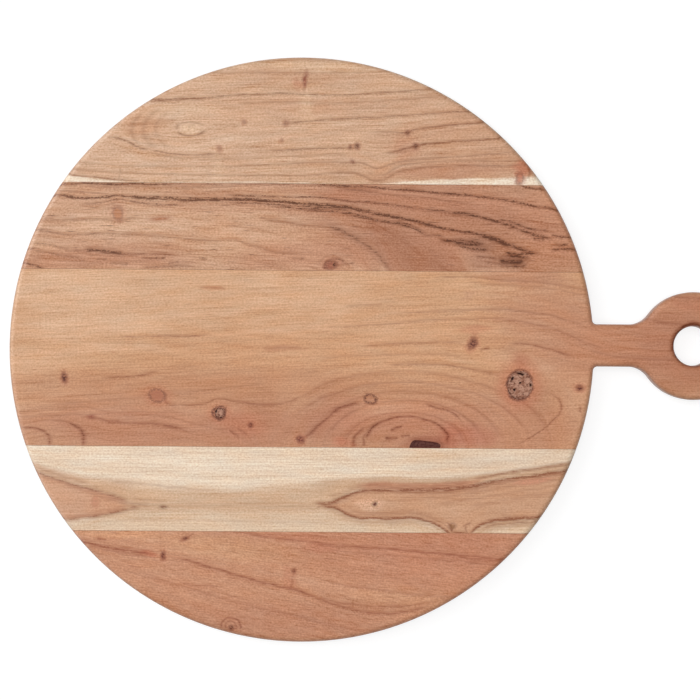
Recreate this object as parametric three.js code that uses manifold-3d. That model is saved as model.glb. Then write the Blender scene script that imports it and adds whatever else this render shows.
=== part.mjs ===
// A round wooden serving paddle. Five staves are glued edge to edge, and the middle one runs on
// past the rim as a neck that ends in a hanging ring. Three natural voids in the middle stave
// are filled with tinted resin, flush with the serving face.
//
// Millimetres. The origin is on the underside, at the centre of the round board. +X runs to the
// handle, +Y across the staves to the back, and +Z up through the board.

import * as THREE from "three";
import { mergeVertices } from "three/addons/utils/BufferGeometryUtils.js";
import Module from "manifold-3d";

// The round board
const BOARD_DIAMETER = 406;
const BOARD_THICKNESS = 19;
const EDGE_RADIUS = 4;

// The staves, across the board. The two edge staves reach from their joints to the rim.
const HANDLE_STAVE_WIDTH = 122.6;
const HANDLE_STAVE_CENTRE_Y = -6.4;
const BACK_INNER_STAVE_WIDTH = 60.1;
const FRONT_INNER_STAVE_WIDTH = 58.7;
const GLUE_LINE_THICKNESS = 0.2;

// The handle: a neck from the rim to the ring, both centred on one line along X
const HANDLE_CENTRE_Y = 4.4;
const NECK_LENGTH = 31.9;
const NECK_WIDTH = 29.4;
const NECK_ROOT_FILLET = 3;
const RING_RADIUS = 37.5;
const RING_FILLET = 17.4;
const HANGING_HOLE_RADIUS = 13.8;

// The filled knots: oval plugs let into the serving face, placed along X and back from the joint
// in front of the handle stave
const LARGE_KNOT = { x: 151.3, fromJoint: 44.1, radiusX: 8.6, radiusY: 10.2, depth: 7 };
const SMALL_KNOT = { x: -56.3, fromJoint: 23.4, radiusX: 3.5, radiusY: 3.8, depth: 5 };

// The filled bark pocket: a bow-shaped void that opens at that same joint. Its left shoulder is
// steep, and its right end runs out thin.
const BARK_POCKET = { x: 85.4, length: 21.6, width: 5.2, shoulder: 1.3, taper: 7.8, depth: 4 };

// The room between a filler and the pocket it fills, and how far a cutter stands out of the wood
const FILLER_CLEARANCE = 0.3;
const CUTTER_OVERRUN = 1;

// How finely round stretches are divided
const RIM_STEP = THREE.MathUtils.degToRad(3);
const HANDLE_STEP = THREE.MathUtils.degToRad(9);
const EDGE_SEGMENTS = 3;
const FILLER_SEGMENTS = 16;

// Places worked out from the sizes above
const BOARD_RADIUS = BOARD_DIAMETER / 2;
const RING_CENTRE_X = BOARD_RADIUS + NECK_LENGTH + RING_RADIUS;
const HALF_GLUE = GLUE_LINE_THICKNESS / 2;
const BACK_INNER_JOINT_Y = HANDLE_STAVE_CENTRE_Y + HANDLE_STAVE_WIDTH / 2;
const FRONT_INNER_JOINT_Y = HANDLE_STAVE_CENTRE_Y - HANDLE_STAVE_WIDTH / 2;
const BACK_OUTER_JOINT_Y = BACK_INNER_JOINT_Y + BACK_INNER_STAVE_WIDTH;
const FRONT_OUTER_JOINT_Y = FRONT_INNER_JOINT_Y - FRONT_INNER_STAVE_WIDTH;
const HANDLE_STAVE_FRONT_Y = FRONT_INNER_JOINT_Y + HALF_GLUE;
const CLEAR_OF_RIM = BOARD_RADIUS + CUTTER_OVERRUN;

const wasm = await Module();
wasm.setup();

// Closed meshes to solids that can be cut, and back again

function toSolid(geometry) {
  const bare = geometry.clone();
  bare.deleteAttribute("normal");
  bare.deleteAttribute("uv");
  const merged = mergeVertices(bare);
  const mesh = new wasm.Mesh({
    numProp: 3,
    vertProperties: new Float32Array(merged.attributes.position.array),
    triVerts: new Uint32Array(merged.index.array),
  });
  return new wasm.Manifold(mesh);
}

function toGeometry(solid) {
  const mesh = solid.getMesh();
  const geometry = new THREE.BufferGeometry();
  geometry.setAttribute("position", new THREE.BufferAttribute(mesh.vertProperties, 3));
  geometry.setIndex(new THREE.BufferAttribute(mesh.triVerts, 1));
  geometry.computeVertexNormals();
  return geometry;
}

// Outlines

function arcPoints(centreX, centreY, radius, fromAngle, toAngle, step) {
  const count = Math.max(1, Math.ceil(Math.abs(toAngle - fromAngle) / step));
  const points = [];
  for (let i = 0; i <= count; i++) {
    const angle = fromAngle + ((toAngle - fromAngle) * i) / count;
    const x = centreX + radius * Math.cos(angle);
    const y = centreY + radius * Math.sin(angle);
    points.push(new THREE.Vector2(x, y));
  }
  return points;
}

function circlePoints(centreX, centreY, radius, step) {
  return arcPoints(centreX, centreY, radius, 0, 2 * Math.PI, step).slice(0, -1);
}

// One side of the handle, from the rim out to the ring: side is +1 at its back and -1 at its front.
// The angles say where the rim and the ring hand over to it.
function handleSide(side) {
  const rootY = HANDLE_CENTRE_Y + side * (NECK_WIDTH / 2 + NECK_ROOT_FILLET);
  const rootX = Math.sqrt((BOARD_RADIUS + NECK_ROOT_FILLET) ** 2 - rootY ** 2);
  const rimAngle = Math.atan2(rootY, rootX);

  const filletRise = NECK_WIDTH / 2 + RING_FILLET;
  const filletRun = Math.sqrt((RING_RADIUS + RING_FILLET) ** 2 - filletRise ** 2);
  const filletX = RING_CENTRE_X - filletRun;
  const filletY = HANDLE_CENTRE_Y + side * filletRise;
  const towardsRing = Math.atan2(-side * filletRise, filletRun);

  const towardsNeck = (-side * Math.PI) / 2;
  const towardsBoard = rimAngle - side * Math.PI;
  const root = arcPoints(rootX, rootY, NECK_ROOT_FILLET, towardsBoard, towardsNeck, HANDLE_STEP);
  const fillet = arcPoints(filletX, filletY, RING_FILLET, towardsNeck, towardsRing, HANDLE_STEP);
  return { rimAngle, ringAngle: towardsRing + side * Math.PI, points: [...root, ...fillet] };
}

// The whole paddle seen from above: the rim, then the front of the handle, the ring and the back
function paddleOutline() {
  const front = handleSide(-1);
  const back = handleSide(1);
  const rimEnd = front.rimAngle + 2 * Math.PI;
  const rim = arcPoints(0, 0, BOARD_RADIUS, back.rimAngle, rimEnd, RIM_STEP);
  const ring = arcPoints(
    RING_CENTRE_X, HANDLE_CENTRE_Y, RING_RADIUS, front.ringAngle, back.ringAngle, HANDLE_STEP,
  );
  const homeward = back.points.reverse();
  return [...rim, ...front.points.slice(1), ...ring.slice(1), ...homeward.slice(1, -1)];
}

// A blank: an outline at the board's thickness, with quarter-round edges all along it
function roundedBlank(outline, holes) {
  const shape = new THREE.Shape(outline);
  for (const hole of holes) {
    shape.holes.push(new THREE.Path(hole));
  }
  const geometry = new THREE.ExtrudeGeometry(shape, {
    depth: BOARD_THICKNESS - 2 * EDGE_RADIUS,
    bevelEnabled: true,
    bevelThickness: EDGE_RADIUS,
    bevelSize: EDGE_RADIUS,
    bevelOffset: -EDGE_RADIUS,
    bevelSegments: EDGE_SEGMENTS,
    steps: 1,
  });
  geometry.translate(0, 0, EDGE_RADIUS);
  return toSolid(geometry);
}

// A slab right across the paddle between two joints, with its faces exactly at the given places
function slab(frontY, backY) {
  const endX = RING_CENTRE_X + RING_RADIUS + CUTTER_OVERRUN;
  const topZ = BOARD_THICKNESS + CUTTER_OVERRUN;
  const geometry = new THREE.BoxGeometry(1, 1, 1);
  const corner = geometry.attributes.position;
  for (let i = 0; i < corner.count; i++) {
    corner.setXYZ(
      i,
      corner.getX(i) < 0 ? -CLEAR_OF_RIM : endX,
      corner.getY(i) < 0 ? frontY : backY,
      corner.getZ(i) < 0 ? -CUTTER_OVERRUN : topZ,
    );
  }
  return toSolid(geometry);
}

function staveSolid(blank, frontY, backY) {
  return blank.intersect(slab(frontY, backY));
}

// Fillers. With a clearance and an overrun the same shape is the cutter for the filler's pocket.

function fillerGeometry(shape, depth, overrun) {
  const geometry = new THREE.ExtrudeGeometry(shape, {
    depth: depth + overrun,
    bevelEnabled: false,
    curveSegments: FILLER_SEGMENTS,
  });
  geometry.translate(0, 0, BOARD_THICKNESS - depth);
  return geometry;
}

function knotGeometry(knot, clearance = 0, overrun = 0) {
  const shape = new THREE.Shape();
  shape.absellipse(0, 0, knot.radiusX + clearance, knot.radiusY + clearance, 0, 2 * Math.PI);
  const geometry = fillerGeometry(shape, knot.depth + clearance, overrun);
  geometry.translate(knot.x, FRONT_INNER_JOINT_Y + knot.fromJoint, 0);
  return geometry;
}

// A cubic curve rises to three quarters of its control points' height
function barkGeometry(pocket, clearance = 0, overrun = 0) {
  const halfLength = pocket.length / 2 + clearance;
  const controlY = (pocket.width + clearance) / 0.75;
  const bow = new THREE.CubicBezierCurve(
    new THREE.Vector2(halfLength, 0),
    new THREE.Vector2(halfLength - pocket.taper, controlY),
    new THREE.Vector2(pocket.shoulder - halfLength, controlY),
    new THREE.Vector2(-halfLength, 0),
  );
  const outline = bow.getPoints(FILLER_SEGMENTS);
  if (overrun > 0) {
    outline.push(new THREE.Vector2(-halfLength, -overrun), new THREE.Vector2(halfLength, -overrun));
  }
  const geometry = fillerGeometry(new THREE.Shape(outline), pocket.depth + clearance, overrun);
  geometry.translate(pocket.x, HANDLE_STAVE_FRONT_Y, 0);
  return geometry;
}

// The assembly

const board = new THREE.Group();

function addPart(name, geometry, color, roughness) {
  const material = new THREE.MeshStandardMaterial({ color, roughness, metalness: 0 });
  const mesh = new THREE.Mesh(geometry, material);
  mesh.name = name;
  board.add(mesh);
}

const hangingHole = circlePoints(RING_CENTRE_X, HANDLE_CENTRE_Y, HANGING_HOLE_RADIUS, HANDLE_STEP);
const paddleBlank = roundedBlank(paddleOutline(), [hangingHole]);
const discBlank = roundedBlank(circlePoints(0, 0, BOARD_RADIUS, RIM_STEP), []);

// Staves beside the handle stave, cut from a plain round blank

const OILED_WOOD_ROUGHNESS = 0.55;
const sideStaves = [
  ["back_edge_stave", BACK_OUTER_JOINT_Y + HALF_GLUE, CLEAR_OF_RIM, "#cfa688"],
  ["back_inner_stave", BACK_INNER_JOINT_Y + HALF_GLUE, BACK_OUTER_JOINT_Y - HALF_GLUE, "#b98a6d"],
  ["front_inner_stave", FRONT_OUTER_JOINT_Y + HALF_GLUE, FRONT_INNER_JOINT_Y - HALF_GLUE, "#d6b798"],
  ["front_edge_stave", -CLEAR_OF_RIM, FRONT_OUTER_JOINT_Y - HALF_GLUE, "#bf886a"],
];
for (const [name, frontY, backY, color] of sideStaves) {
  addPart(name, toGeometry(staveSolid(discBlank, frontY, backY)), color, OILED_WOOD_ROUGHNESS);
}

// The handle stave, with a pocket for each filler

const pocketCutters = [
  knotGeometry(LARGE_KNOT, FILLER_CLEARANCE, CUTTER_OVERRUN),
  knotGeometry(SMALL_KNOT, FILLER_CLEARANCE, CUTTER_OVERRUN),
  barkGeometry(BARK_POCKET, FILLER_CLEARANCE, CUTTER_OVERRUN),
];
let handleStave = staveSolid(paddleBlank, HANDLE_STAVE_FRONT_Y, BACK_INNER_JOINT_Y - HALF_GLUE);
for (const cutter of pocketCutters) {
  handleStave = handleStave.subtract(toSolid(cutter));
}
addPart("handle_stave", toGeometry(handleStave), "#c59373", OILED_WOOD_ROUGHNESS);

// Glue lines: a film in each joint, trimmed to the rim with the staves

const GLUE_ROUGHNESS = 0.5;
const glueLines = [
  ["glue_line_back_outer", BACK_OUTER_JOINT_Y],
  ["glue_line_back_inner", BACK_INNER_JOINT_Y],
  ["glue_line_front_inner", FRONT_INNER_JOINT_Y],
  ["glue_line_front_outer", FRONT_OUTER_JOINT_Y],
];
for (const [name, jointY] of glueLines) {
  const film = staveSolid(discBlank, jointY - HALF_GLUE, jointY + HALF_GLUE);
  addPart(name, toGeometry(film), "#8a5f45", GLUE_ROUGHNESS);
}

// Fillers

const RESIN_ROUGHNESS = 0.45;
addPart("large_knot_filler", knotGeometry(LARGE_KNOT), "#9c7f70", RESIN_ROUGHNESS);
addPart("small_knot_filler", knotGeometry(SMALL_KNOT), "#a98b7c", RESIN_ROUGHNESS);
addPart("bark_pocket_filler", barkGeometry(BARK_POCKET), "#4a3028", RESIN_ROUGHNESS);

export default board;
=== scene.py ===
import math
from collections import namedtuple

import bpy
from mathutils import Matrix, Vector, kdtree
from mathutils.geometry import delaunay_2d_cdt


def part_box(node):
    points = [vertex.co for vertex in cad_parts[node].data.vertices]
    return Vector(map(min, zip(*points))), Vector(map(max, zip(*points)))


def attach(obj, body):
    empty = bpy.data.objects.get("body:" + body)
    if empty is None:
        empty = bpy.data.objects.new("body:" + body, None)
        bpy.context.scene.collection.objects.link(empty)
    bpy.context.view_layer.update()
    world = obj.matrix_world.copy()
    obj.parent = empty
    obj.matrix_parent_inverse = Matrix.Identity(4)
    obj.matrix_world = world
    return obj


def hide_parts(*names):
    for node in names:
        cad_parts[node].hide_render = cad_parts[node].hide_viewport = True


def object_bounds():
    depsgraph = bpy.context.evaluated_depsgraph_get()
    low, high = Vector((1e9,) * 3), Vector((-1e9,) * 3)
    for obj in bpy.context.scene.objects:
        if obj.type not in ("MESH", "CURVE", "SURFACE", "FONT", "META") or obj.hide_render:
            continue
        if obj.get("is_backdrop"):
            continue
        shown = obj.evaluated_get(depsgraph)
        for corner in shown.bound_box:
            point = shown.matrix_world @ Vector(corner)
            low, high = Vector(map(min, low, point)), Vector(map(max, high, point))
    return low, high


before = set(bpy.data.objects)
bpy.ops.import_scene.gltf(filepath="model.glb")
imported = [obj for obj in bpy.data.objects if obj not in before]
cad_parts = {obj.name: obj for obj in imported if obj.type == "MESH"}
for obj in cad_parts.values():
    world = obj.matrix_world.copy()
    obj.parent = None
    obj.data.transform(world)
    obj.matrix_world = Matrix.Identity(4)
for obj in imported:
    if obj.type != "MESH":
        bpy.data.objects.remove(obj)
cad_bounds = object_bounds()

# Sizes of the paddle in millimetres, from the frame where a node's box gives them

MM = 0.001
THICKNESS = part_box("handle_stave")[1].z / MM
BOARD_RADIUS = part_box("back_edge_stave")[1].y / MM
HANDLE_END_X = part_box("handle_stave")[1].x / MM
EDGE_RADIUS = 4.0
HANDLE_CENTRE_Y = 4.4
NECK_WIDTH = 29.4
NECK_ROOT_FILLET = 3.0
RING_RADIUS = 37.5
RING_FILLET = 17.4
HANGING_HOLE_RADIUS = 13.8
RING_CENTRE = (HANDLE_END_X - RING_RADIUS, HANDLE_CENTRE_Y)

# How finely the meshes are divided: distances in millimetres and numbers of steps
RIM_SPACING = 2.5
NECK_SPACING = 2.4
CAP_SPACING = 7.0
CAP_MARGIN = 0.4
EDGE_STEPS = 7
WALL_STEPS = 4
ROOT_STEPS = 8
FILLET_STEPS = 14
RING_STEPS = 120
HOLE_STEPS = 72
JOINT_STEPS = 60

# How clear of every edge the inner points of a flat stay, as a share of their spacing, and how
# the flats are triangulated: only inside the outline, with points welded within a distance
GRID_CLEARANCE = 0.6
FILL_INSIDE = 1
FILL_WELD = 1e-5

# Edges sharper than this stay sharp, and bumps in the materials are this high in millimetres
SHARP_ANGLE = math.radians(40)
BUMP_HEIGHT = 0.3

# How the photograph, 700 by 700 pixels, sees the board: millimetres to a pixel, the pixel at the
# round's centre, and how far the board is turned clockwise in it
PHOTO_SIZE = 700
PHOTO_SCALE = 0.6952
PHOTO_CENTRE = (301.7, 349.6)
PHOTO_TURN = math.radians(0.41)
CAMERA_HEIGHT = 1300.0


def from_photo(u, v):
    """The board's x and y, in millimetres, under a pixel of the photograph."""
    across = (u - PHOTO_CENTRE[0]) * PHOTO_SCALE
    down = (v - PHOTO_CENTRE[1]) * PHOTO_SCALE
    x = across * math.cos(PHOTO_TURN) + down * math.sin(PHOTO_TURN)
    y = across * math.sin(PHOTO_TURN) - down * math.cos(PHOTO_TURN)
    return x, y


# Outlines, in millimetres, counter-clockwise seen from above

def arc_points(centre, radius, start, end, count):
    """The ends of an arc, and the points that divide it into equal steps."""
    angles = [start + (end - start) * i / count for i in range(count + 1)]
    return [(centre[0] + radius * math.cos(a), centre[1] + radius * math.sin(a)) for a in angles]


def points_between(start, end, count):
    """The points that divide a straight stretch into equal steps, without its ends."""
    shares = [i / count for i in range(1, count)]
    return [tuple(a + (b - a) * t for a, b in zip(start, end)) for t in shares]


def spaced_between(start, end, spacing):
    """The points inside a straight stretch at about a given spacing, without its ends."""
    return points_between(start, end, max(1, round(math.dist(start, end) / spacing)))


def handle_outline(inset):
    """The handle's edge, from the rim out along its front, round the ring and home along its back,
    and the angles at which it leaves the rim and comes back to it."""
    sides = {}
    for side in (-1, 1):
        root_y = HANDLE_CENTRE_Y + side * (NECK_WIDTH / 2 + NECK_ROOT_FILLET)
        root_x = math.sqrt((BOARD_RADIUS + NECK_ROOT_FILLET) ** 2 - root_y ** 2)
        rise = NECK_WIDTH / 2 + RING_FILLET
        run = math.sqrt((RING_RADIUS + RING_FILLET) ** 2 - rise ** 2)
        to_neck = -side * math.pi / 2
        to_ring = math.atan2(-side * rise, run)
        rim = math.atan2(root_y, root_x)
        from_rim = rim - side * math.pi
        root = arc_points((root_x, root_y), NECK_ROOT_FILLET + inset, from_rim, to_neck, ROOT_STEPS)
        fillet_centre = (RING_CENTRE[0] - run, RING_CENTRE[1] + side * rise)
        fillet = arc_points(fillet_centre, RING_FILLET + inset, to_neck, to_ring, FILLET_STEPS)
        neck = spaced_between(root[-1], fillet[0], NECK_SPACING)
        sides[side] = (rim, to_ring + side * math.pi, root + neck + fillet)
    front_rim, front_ring, front = sides[-1]
    back_rim, back_ring, back = sides[1]
    ring = arc_points(RING_CENTRE, RING_RADIUS - inset, front_ring, back_ring, RING_STEPS)
    return front_rim, back_rim, front + ring[1:] + back[::-1][1:]


def rim_steps(start, end):
    """How many steps the rim takes from one angle to another."""
    return math.ceil((end - start) * BOARD_RADIUS / RIM_SPACING)


def stave_outline(front_y, back_y, inset, with_handle=False):
    """A stave's edge at some inset from the rim. Its joints stay where they are."""
    centre = (0.0, 0.0)
    radius = BOARD_RADIUS - inset
    start = math.asin(max(-1.0, front_y / radius))
    end = math.asin(min(1.0, back_y / radius))
    full_start = math.asin(max(-1.0, front_y / BOARD_RADIUS))
    full_end = math.asin(min(1.0, back_y / BOARD_RADIUS))
    count = rim_steps(full_start, full_end)
    if with_handle:
        front_rim, back_rim, handle = handle_outline(inset)
        right = arc_points(centre, radius, start, front_rim, rim_steps(full_start, front_rim))[:-1]
        right += handle
        right += arc_points(centre, radius, back_rim, end, rim_steps(back_rim, full_end))[1:]
    else:
        right = arc_points(centre, radius, start, end, count)
    left = arc_points(centre, radius, math.pi - end, math.pi - start, count)

    # An edge stave has one joint, and its two arcs meet on its other side
    points = list(right)
    if math.dist(right[-1], left[0]) > EDGE_RADIUS:
        points += points_between(right[-1], left[0], JOINT_STEPS) + left
    else:
        points += left[1:]
    if math.dist(left[-1], right[0]) > EDGE_RADIUS:
        points += points_between(left[-1], right[0], JOINT_STEPS)
    else:
        points.pop()
    return points


def hole_outline(inset):
    """The hanging hole, clockwise because wood lies outside it."""
    return arc_points(RING_CENTRE, HANGING_HOLE_RADIUS + inset, 0.0, -2 * math.pi, HOLE_STEPS)[:-1]


def oval_outline(centre, radius_x, radius_y, wobble, count):
    """A slightly uneven oval, as a burnt or rotten knot leaves it, counter-clockwise."""
    points = []
    for i in range(count):
        angle = 2 * math.pi * i / count
        lobes = math.sin(2 * angle + 0.7) + 0.8 * math.sin(3 * angle + 2.1) + 0.5 * math.sin(7 * angle)
        reach = 1.0 + wobble * lobes
        points.append((
            centre[0] + radius_x * reach * math.cos(angle),
            centre[1] + radius_y * reach * math.sin(angle),
        ))
    return points


# Meshes

def edge_levels():
    """Height and inset of each ring of points from the underside's flat up to the serving face's."""
    quarter = []
    for step in range(EDGE_STEPS + 1):
        turn = math.pi / 2 * step / EDGE_STEPS
        quarter.append((EDGE_RADIUS * (1 - math.cos(turn)), EDGE_RADIUS * (1 - math.sin(turn))))
    wall = []
    for step in range(1, WALL_STEPS):
        wall.append((EDGE_RADIUS + (THICKNESS - 2 * EDGE_RADIUS) * step / WALL_STEPS, 0.0))
    upper = [(THICKNESS - height, inset) for height, inset in reversed(quarter)]
    flat = EDGE_RADIUS + CAP_MARGIN
    return [(0.0, flat)] + quarter + wall + upper + [(THICKNESS, flat)]


def inside(point, loop):
    """Whether a point lies inside a closed outline."""
    x, y = point
    result = False
    for (x1, y1), (x2, y2) in zip(loop, loop[1:] + loop[:1]):
        if (y1 > y) != (y2 > y) and x < x1 + (y - y1) * (x2 - x1) / (y2 - y1):
            result = not result
    return result


def inner_grid(loops, edge_points):
    """Staggered points inside the first loop and outside the others, clear of every edge."""
    tree = kdtree.KDTree(len(edge_points))
    for i, point in enumerate(edge_points):
        tree.insert((point.x, point.y, 0.0), i)
    tree.balance()
    low_x = min(x for x, _ in loops[0])
    high_x = max(x for x, _ in loops[0])
    low_y = min(y for _, y in loops[0])
    high_y = max(y for _, y in loops[0])
    row_height = CAP_SPACING * math.sqrt(0.75)
    points = []
    for row in range(int((high_y - low_y) / row_height) + 1):
        y = low_y + row * row_height
        shift = CAP_SPACING / 2 * (row % 2)
        for column in range(int((high_x - low_x) / CAP_SPACING) + 1):
            x = low_x + shift + column * CAP_SPACING
            if tree.find((x, y, 0.0))[2] < CAP_SPACING * GRID_CLEARANCE:
                continue
            if inside((x, y), loops[0]) and not any(inside((x, y), loop) for loop in loops[1:]):
                points.append((x, y))
    return points


class MeshBuilder:
    """Collects points in millimetres and faces, and makes a smooth object in metres of them."""

    def __init__(self):
        self.points = []
        self.faces = []

    def ring(self, outline, z):
        """Adds an outline at a height, and says which points are its own."""
        first = len(self.points)
        self.points += [(x, y, z) for x, y in outline]
        return list(range(first, len(self.points)))

    def bridge(self, lower, upper):
        """Joins two rings of the same number of points."""
        count = len(lower)
        for i in range(count):
            j = (i + 1) % count
            self.faces.append((lower[i], lower[j], upper[j], upper[i]))

    def tube(self, rings):
        """Joins each ring to the next."""
        for lower, upper in zip(rings, rings[1:]):
            self.bridge(lower, upper)

    def cap(self, outer, holes, facing_up):
        """Fills the flat between an outer ring and the rings of its holes with even triangles."""
        rings = [outer] + holes
        loops = [[self.points[i][:2] for i in ring] for ring in rings]
        z = self.points[outer[0]][2]
        known = [i for ring in rings for i in ring]
        flat = [Vector(point) for loop in loops for point in loop]
        edges = []
        first = 0
        for loop in loops:
            last = first + len(loop)
            edges += [(i, i + 1 if i + 1 < last else first) for i in range(first, last)]
            first = last
        flat += [Vector(point) for point in inner_grid(loops, flat)]
        outer_face = range(len(outer))
        places, _, faces, origins, _, _ = delaunay_2d_cdt(flat, edges, [outer_face], FILL_INSIDE, FILL_WELD)
        index = {}
        for new, old in enumerate(origins):
            if old and old[0] < len(known):
                index[new] = known[old[0]]
            else:
                index[new] = len(self.points)
                self.points.append((places[new].x, places[new].y, z))
        for face in faces:
            middle = sum((places[i] for i in face), Vector((0.0, 0.0))) / len(face)
            if any(inside(middle, loop) for loop in loops[1:]):
                continue
            corners = [index[i] for i in face]
            self.faces.append(corners if facing_up else corners[::-1])

    def build(self, name, material):
        """Makes the object."""
        mesh = bpy.data.meshes.new(name)
        mesh.from_pydata([(x * MM, y * MM, z * MM) for x, y, z in self.points], [], self.faces)
        mesh.validate()
        mesh.polygons.foreach_set("use_smooth", [True] * len(mesh.polygons))
        mesh.set_sharp_from_angle(angle=SHARP_ANGLE)
        mesh.materials.append(material)
        piece = bpy.data.objects.new(name, mesh)
        bpy.context.scene.collection.objects.link(piece)
        return piece


def add_piece(builder, name, material, node, slot):
    """Puts a finished mesh in the place of its CAD node."""
    piece = builder.build(name, material)
    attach(piece, "root")
    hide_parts(node)


def stave_mesh(node, pockets=()):
    """A stave with quarter-round edges along the rim, and flat joints. A pocket is an outline and
    a depth, let into the serving face."""
    with_handle = node == "handle_stave"
    low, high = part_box(node)
    front_y = low.y / MM
    back_y = high.y / MM
    if node == "back_edge_stave":
        back_y = 2 * BOARD_RADIUS
    if node == "front_edge_stave":
        front_y = -2 * BOARD_RADIUS
    builder = MeshBuilder()
    levels = edge_levels()
    rims = [builder.ring(stave_outline(front_y, back_y, inset, with_handle), z) for z, inset in levels]
    builder.tube(rims)
    low_holes, top_holes = [], []
    if with_handle:
        bores = [builder.ring(hole_outline(inset), z) for z, inset in levels]
        builder.tube(bores)
        low_holes.append(bores[0])
        top_holes.append(bores[-1])
    for outline, depth in pockets:
        floor = builder.ring(outline[::-1], THICKNESS - depth)
        mouth = builder.ring(outline[::-1], THICKNESS)
        builder.bridge(floor, mouth)
        builder.faces.append(floor[::-1])
        top_holes.append(mouth)
    builder.cap(rims[-1], top_holes, facing_up=True)
    builder.cap(rims[0], low_holes, facing_up=False)
    return builder


# Node graphs: numbers and colours that vary over a surface, with plain arithmetic

class Field:
    """One number, colour or vector at each point of a surface."""

    def __init__(self, graph, socket):
        self.graph = graph
        self.socket = socket

    def __add__(self, other):
        return self.graph.math("ADD", self, other)

    def __sub__(self, other):
        return self.graph.math("SUBTRACT", self, other)

    def __rsub__(self, other):
        return self.graph.math("SUBTRACT", other, self)

    def __mul__(self, other):
        return self.graph.math("MULTIPLY", self, other)

    __radd__ = __add__


class Graph:
    """A material under construction."""

    def __init__(self, name):
        self.material = bpy.data.materials.new(name)
        self.material.use_nodes = True
        self.tree = self.material.node_tree
        self.tree.nodes.clear()

    def node(self, kind, *values, **settings):
        """A new node with some settings, and with values or fields in its first inputs."""
        node = self.tree.nodes.new(kind)
        for key, value in settings.items():
            setattr(node, key, value)
        for socket, value in zip(node.inputs, values):
            self.feed(socket, value)
        return node

    def feed(self, socket, value):
        if isinstance(value, Field):
            self.tree.links.new(value.socket, socket)
        else:
            socket.default_value = value

    def place(self):
        """Where each point lies in the object's own frame, in metres."""
        return Field(self, self.node("ShaderNodeTexCoord").outputs["Object"])

    def math(self, operation, *values):
        return Field(self, self.node("ShaderNodeMath", *values, operation=operation).outputs[0])

    def vector_math(self, operation, *values):
        node = self.node("ShaderNodeVectorMath", *values, operation=operation)
        scalar = operation in ("DOT_PRODUCT", "LENGTH")
        return Field(self, node.outputs["Value" if scalar else "Vector"])

    def vector(self, x, y, z):
        return Field(self, self.node("ShaderNodeCombineXYZ", x, y, z).outputs[0])

    def range(self, value, low, high, to_low=0.0, to_high=1.0, smooth=True):
        """What lies from low to high, brought to another range and held inside it."""
        kind = "SMOOTHSTEP" if smooth else "LINEAR"
        numbers = (value, low, high, to_low, to_high)
        node = self.node("ShaderNodeMapRange", *numbers, interpolation_type=kind, clamp=True)
        return Field(self, node.outputs[0])

    def between(self, value, start, end, fade):
        """One from start to end and nothing outside, with soft ends."""
        rising = self.range(value, start - fade, start + fade)
        return rising * self.range(value, end - fade, end + fade, 1.0, 0.0)

    def most(self, fields, least=0.0):
        """The greatest of some fields at each point, or least where it is more than all of them.
        A field is only made when its turn comes, so that few have to be held at a time."""
        for field in fields:
            least = self.math("MAXIMUM", least, field)
        return least

    def noise(self, vector, detail=2.0, roughness=0.5, colour=False):
        node = self.node("ShaderNodeTexNoise", noise_dimensions="3D")
        self.feed(node.inputs["Vector"], vector)
        node.inputs["Scale"].default_value = 1.0
        node.inputs["Detail"].default_value = detail
        node.inputs["Roughness"].default_value = roughness
        return Field(self, node.outputs["Color" if colour else "Fac"])

    def curve(self, value, points):
        """A smooth curve through points, read at a value from 0 to 1."""
        node = self.node("ShaderNodeFloatCurve")
        self.feed(node.inputs["Value"], value)
        line = node.mapping.curves[0]
        while len(line.points) < len(points):
            line.points.new(0.5, 0.5)
        for knot, place in zip(line.points, points):
            knot.location = place
            knot.handle_type = "AUTO_CLAMPED"
        node.mapping.update()
        return Field(self, node.outputs[0])

    def mix(self, share, first, second):
        """A colour between two. The colour sockets come after those for numbers and vectors."""
        node = self.node("ShaderNodeMix", share, data_type="RGBA")
        for socket, colour in ((node.inputs[6], first), (node.inputs[7], second)):
            self.feed(socket, colour if isinstance(colour, Field) else linear(colour))
        return Field(self, node.outputs[2])

    def oval_offset(self, place, oval):
        """Where a point lies from an oval's middle, as shares of its radii."""
        node = self.node("ShaderNodeMapping", vector_type="TEXTURE")
        self.feed(node.inputs["Vector"], place)
        node.inputs["Location"].default_value = (oval.u, oval.v, 0.0)
        node.inputs["Rotation"].default_value = (0.0, 0.0, math.radians(oval.turn))
        node.inputs["Scale"].default_value = (oval.radius_u, oval.radius_v, 1.0)
        return Field(self, node.outputs[0])

    def oval_distance(self, place, oval):
        """How far a point lies from an oval's middle, with 1 on the oval."""
        return self.vector_math("LENGTH", self.oval_offset(place, oval))

    def finish(self, colour, roughness, height, bump_strength, specular):
        """The finished material, of a surface with fine bumps."""
        bump = self.node("ShaderNodeBump")
        bump.inputs["Strength"].default_value = bump_strength
        bump.inputs["Distance"].default_value = BUMP_HEIGHT * MM
        self.feed(bump.inputs["Height"], height)
        shader = self.node("ShaderNodeBsdfPrincipled")
        shader.inputs["Specular IOR Level"].default_value = specular
        self.feed(shader.inputs["Base Color"], colour)
        self.feed(shader.inputs["Roughness"], roughness)
        self.tree.links.new(bump.outputs["Normal"], shader.inputs["Normal"])
        return self.output(shader)

    def output(self, shader):
        output = self.node("ShaderNodeOutputMaterial")
        self.tree.links.new(shader.outputs[0], output.inputs["Surface"])
        return self.material


def linear(colour):
    """A colour written as 0 to 255 on a screen, as the light it stands for."""
    parts = [value / 255 for value in colour]
    parts = [p / 12.92 if p <= 0.04045 else ((p + 0.055) / 1.055) ** 2.4 for p in parts]
    return (*parts, 1.0)


# Wood. The figure of each stave is laid out in the photograph's pixels: u across and v down.
# Guides are growth lines drawn from left to right. Each has a growth level, and the
# levels between two guides are shared out evenly, so that the whole grain follows them. The
# lines of a guide are the stretches along it that stand out. Angles are in degrees, clockwise.

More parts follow.
